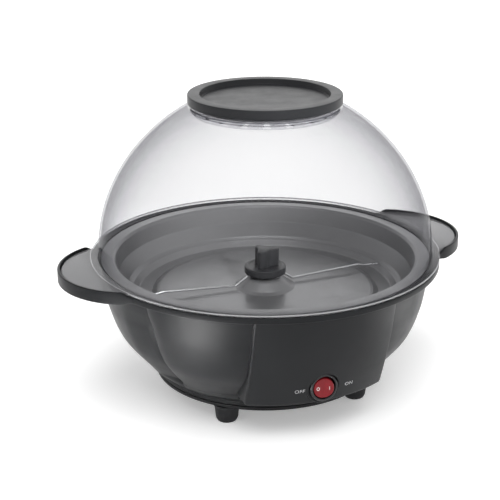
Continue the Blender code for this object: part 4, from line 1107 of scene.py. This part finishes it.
def make_grommet():
    """Rear bush for the mains cord, with a ribbed nose."""
    place = facing_front((GROMMET_LOW.z + GROMMET_HIGH.z) / 2, 1.0)
    tip = GROMMET_HIGH.y
    rear = GROMMET_LOW.y
    radius = 0.0085
    face = tip - 0.0090
    inner_face = face - 0.0028
    corners = [
        (0.0036, rear, 0.0004), (radius + 0.0018, rear, 0.0006), (radius + 0.0018, inner_face, 0.0002),
        (radius, inner_face, 0.0001), (radius, face, 0.0001), (radius + 0.0025, face, 0.0004),
        (radius + 0.0021, face + 0.0020, 0.0008), (0.0078, face + 0.0026, 0.0004),
    ]
    for i in range(3):
        high = face + 0.0036 + 0.0016 * i
        wide = 0.0077 - 0.0004 * i
        corners += [
            (wide - 0.0006, high - 0.0006, 0.0002), (wide - 0.0006, high, 0.0002),
            (wide, high + 0.0002, 0.0002), (wide, high + 0.0008, 0.0002),
        ]
    corners += [(0.0060, tip, 0.0006), (0.0036, tip, 0.0004)]
    grommet = lathe("cord_bush", corners, M_GROMMET, 72, place)
    wear(grommet, "base", "grommet_rubber", "cord_grommet")


def dress_cad():
    """Better finishes for the CAD nodes that stay."""
    finishes = {
        "heating_plate": M_CAST, "heating_element": M_SHEATH, "thermostat": M_PHENOLIC,
        "thermal_fuse": M_NYLON, "heat_shield": M_SHEET, "motor_bracket": M_STEEL,
        "motor_case": M_STEEL, "motor_cover": M_STEEL,
        "gear_plate": M_STEEL, "stator_coil": M_COIL, "output_gear": M_NYLON, "idler_gear": M_NYLON,
        "rotor": M_MAGNET, "terminal_block": M_NYLON, "wire_element_left": M_GREY_WIRE,
        "wire_element_right": M_GREY_WIRE, "wire_motor": M_BROWN_WIRE, "wire_switch": M_BLUE_WIRE,
        "switch_terminal_1": M_BRASS, "switch_terminal_2": M_BRASS,
    }
    for i in range(1, 4):
        for name in ("element_clamp", "mounting_stud", "shield_spacer", "stud_nut"):
            finishes[f"{name}_{i}"] = M_STEEL
    for name, material in finishes.items():
        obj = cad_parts[name]
        for slot in obj.material_slots:
            slot.material = material


# --- stage ---

def make_floor():
    """Pale seamless floor."""
    side = 30.0
    points = [(-side, -side, 0), (side, -side, 0), (side, side, 0), (-side, side, 0)]
    mesh = bpy.data.meshes.new("floor")
    mesh.from_pydata(points, [], [(0, 1, 2, 3)])
    n = Nodes("floor_pale")
    shade = n.blend(n.spread(n.noise(3.0), 0.0, 1.0), (0.90, 0.90, 0.90), (0.92, 0.92, 0.92))
    mesh.materials.append(n.finish(n.shader(
        Base_Color=shade, Roughness=0.9, Specular_IOR_Level=0.1,
        Emission_Color=(1.0, 1.0, 1.0, 1.0), Emission_Strength=0.28,
    )))
    floor = bpy.data.objects.new("floor", mesh)
    bpy.context.scene.collection.objects.link(floor)


def hang(lamp, place, aim):
    """Puts a lamp in the scene, turned to a point."""
    obj = bpy.data.objects.new(lamp.name, lamp)
    obj.location = place
    obj.rotation_euler = (Vector(aim) - Vector(place)).to_track_quat("-Z", "Y").to_euler()
    bpy.context.scene.collection.objects.link(obj)
    return obj


def make_softbox(name, degrees, distance, height, aim, size, power):
    """Area light at a direction (degrees from the front, right positive) and distance."""
    turn = math.radians(degrees)
    place = Vector((distance * math.sin(turn), -distance * math.cos(turn), height))
    light = bpy.data.lights.new(name, "AREA")
    light.shape = "RECTANGLE"
    light.size, light.size_y = size
    light.energy = power
    hang(light, place, aim)


def make_pool(name, place, aim, degrees, power):
    """Narrow lamp: lights a patch of the floor that the petals reflect, or the pan."""
    lamp = bpy.data.lights.new(name, "SPOT")
    lamp.energy = power
    lamp.spot_size = math.radians(degrees)
    lamp.spot_blend = 1.0
    lamp.shadow_soft_size = 0.04
    return hang(lamp, place, aim)


def make_studio():
    """White surroundings, brightest at the horizon, soft sun, floor pools and the camera."""
    world = bpy.data.worlds.new("studio")
    world.use_nodes = True
    tree = world.node_tree
    back = tree.nodes["Background"]
    back.inputs["Color"].default_value = (1.0, 1.0, 1.0, 1.0)
    around = tree.nodes.new("ShaderNodeTexCoord")
    upward = tree.nodes.new("ShaderNodeSeparateXYZ")
    tree.links.new(around.outputs["Generated"], upward.inputs[0])
    level = tree.nodes.new("ShaderNodeMapRange")
    horizon, overhead_share, bright, dim = 0.12, 0.55, 1.35, 0.58
    ends = (("From Min", horizon), ("From Max", overhead_share), ("To Min", bright), ("To Max", dim))
    for socket, value in ends:
        level.inputs[socket].default_value = value
    tree.links.new(upward.outputs["Z"], level.inputs["Value"])
    tree.links.new(level.outputs["Result"], back.inputs["Strength"])
    bpy.context.scene.world = world

    sun_tilt = math.radians(24.0)
    sun_turn = math.radians(-20.0)
    sun = bpy.data.lights.new("overhead", "SUN")
    sun.energy = 1.8
    sun.angle = math.radians(45.0)
    overhead = bpy.data.objects.new("overhead", sun)
    overhead.rotation_euler = (sun_tilt, 0.0, sun_turn)
    bpy.context.scene.collection.objects.link(overhead)

    make_pool("left_pool", (-0.75, -0.42, 1.0), (-0.24, -0.155, 0.0), 9.0, 1100.0)
    make_pool("right_pool", (0.85, -0.20, 1.0), (0.26, -0.16, 0.0), 10.0, 190.0)
    pan_key = make_pool("pan_key", (0.12, -1.0, 0.64), (-0.01, 0.12, 0.105), 11.0, 110.0)
    pan_key.visible_glossy = False
    make_softbox("back_soft", 160.0, 3.2, 1.5, (0, 0, 0.1), (3.4, 1.6), 18.0)

    camera_tilt = math.radians(70.17)
    camera_turn = math.radians(-21.57)
    camera = bpy.data.cameras.new("camera")
    camera.lens = 91.8
    camera.sensor_width = 36.0
    camera.shift_x = -0.03
    camera.clip_end = 100.0
    eye = bpy.data.objects.new("camera", camera)
    eye.location = (-0.382, -0.966, 0.4966)
    eye.rotation_euler = (camera_tilt, 0.0, camera_turn)
    bpy.context.scene.collection.objects.link(eye)
    bpy.context.scene.camera = eye
    bpy.context.scene.view_settings.view_transform = "Standard"


make_band()
make_dome()
make_vent_insert()
make_cap()
make_base()
make_underside()
FOOT_SCREW_HEAD = 0.0034
COVER_SCREW_HEAD = 0.0032
for number in range(1, 5):
    make_foot(f"foot_pad_{number}", f"foot_{number}")
    make_screw(f"foot_fixing_{number}", f"foot_screw_{number}", FOOT_SCREW_HEAD)
    make_screw(f"cover_fixing_{number}", f"cover_screw_{number}", COVER_SCREW_HEAD)
make_pan()
make_stirrer()
make_shaft()
make_switch()
LETTER = 0.0047
make_label("label_off", "OFF", -0.0201, 0.0470, LETTER)
make_label("label_on", "ON", 0.0230, 0.0468, LETTER)
make_grommet()
dress_cad()
make_floor()
make_studio()
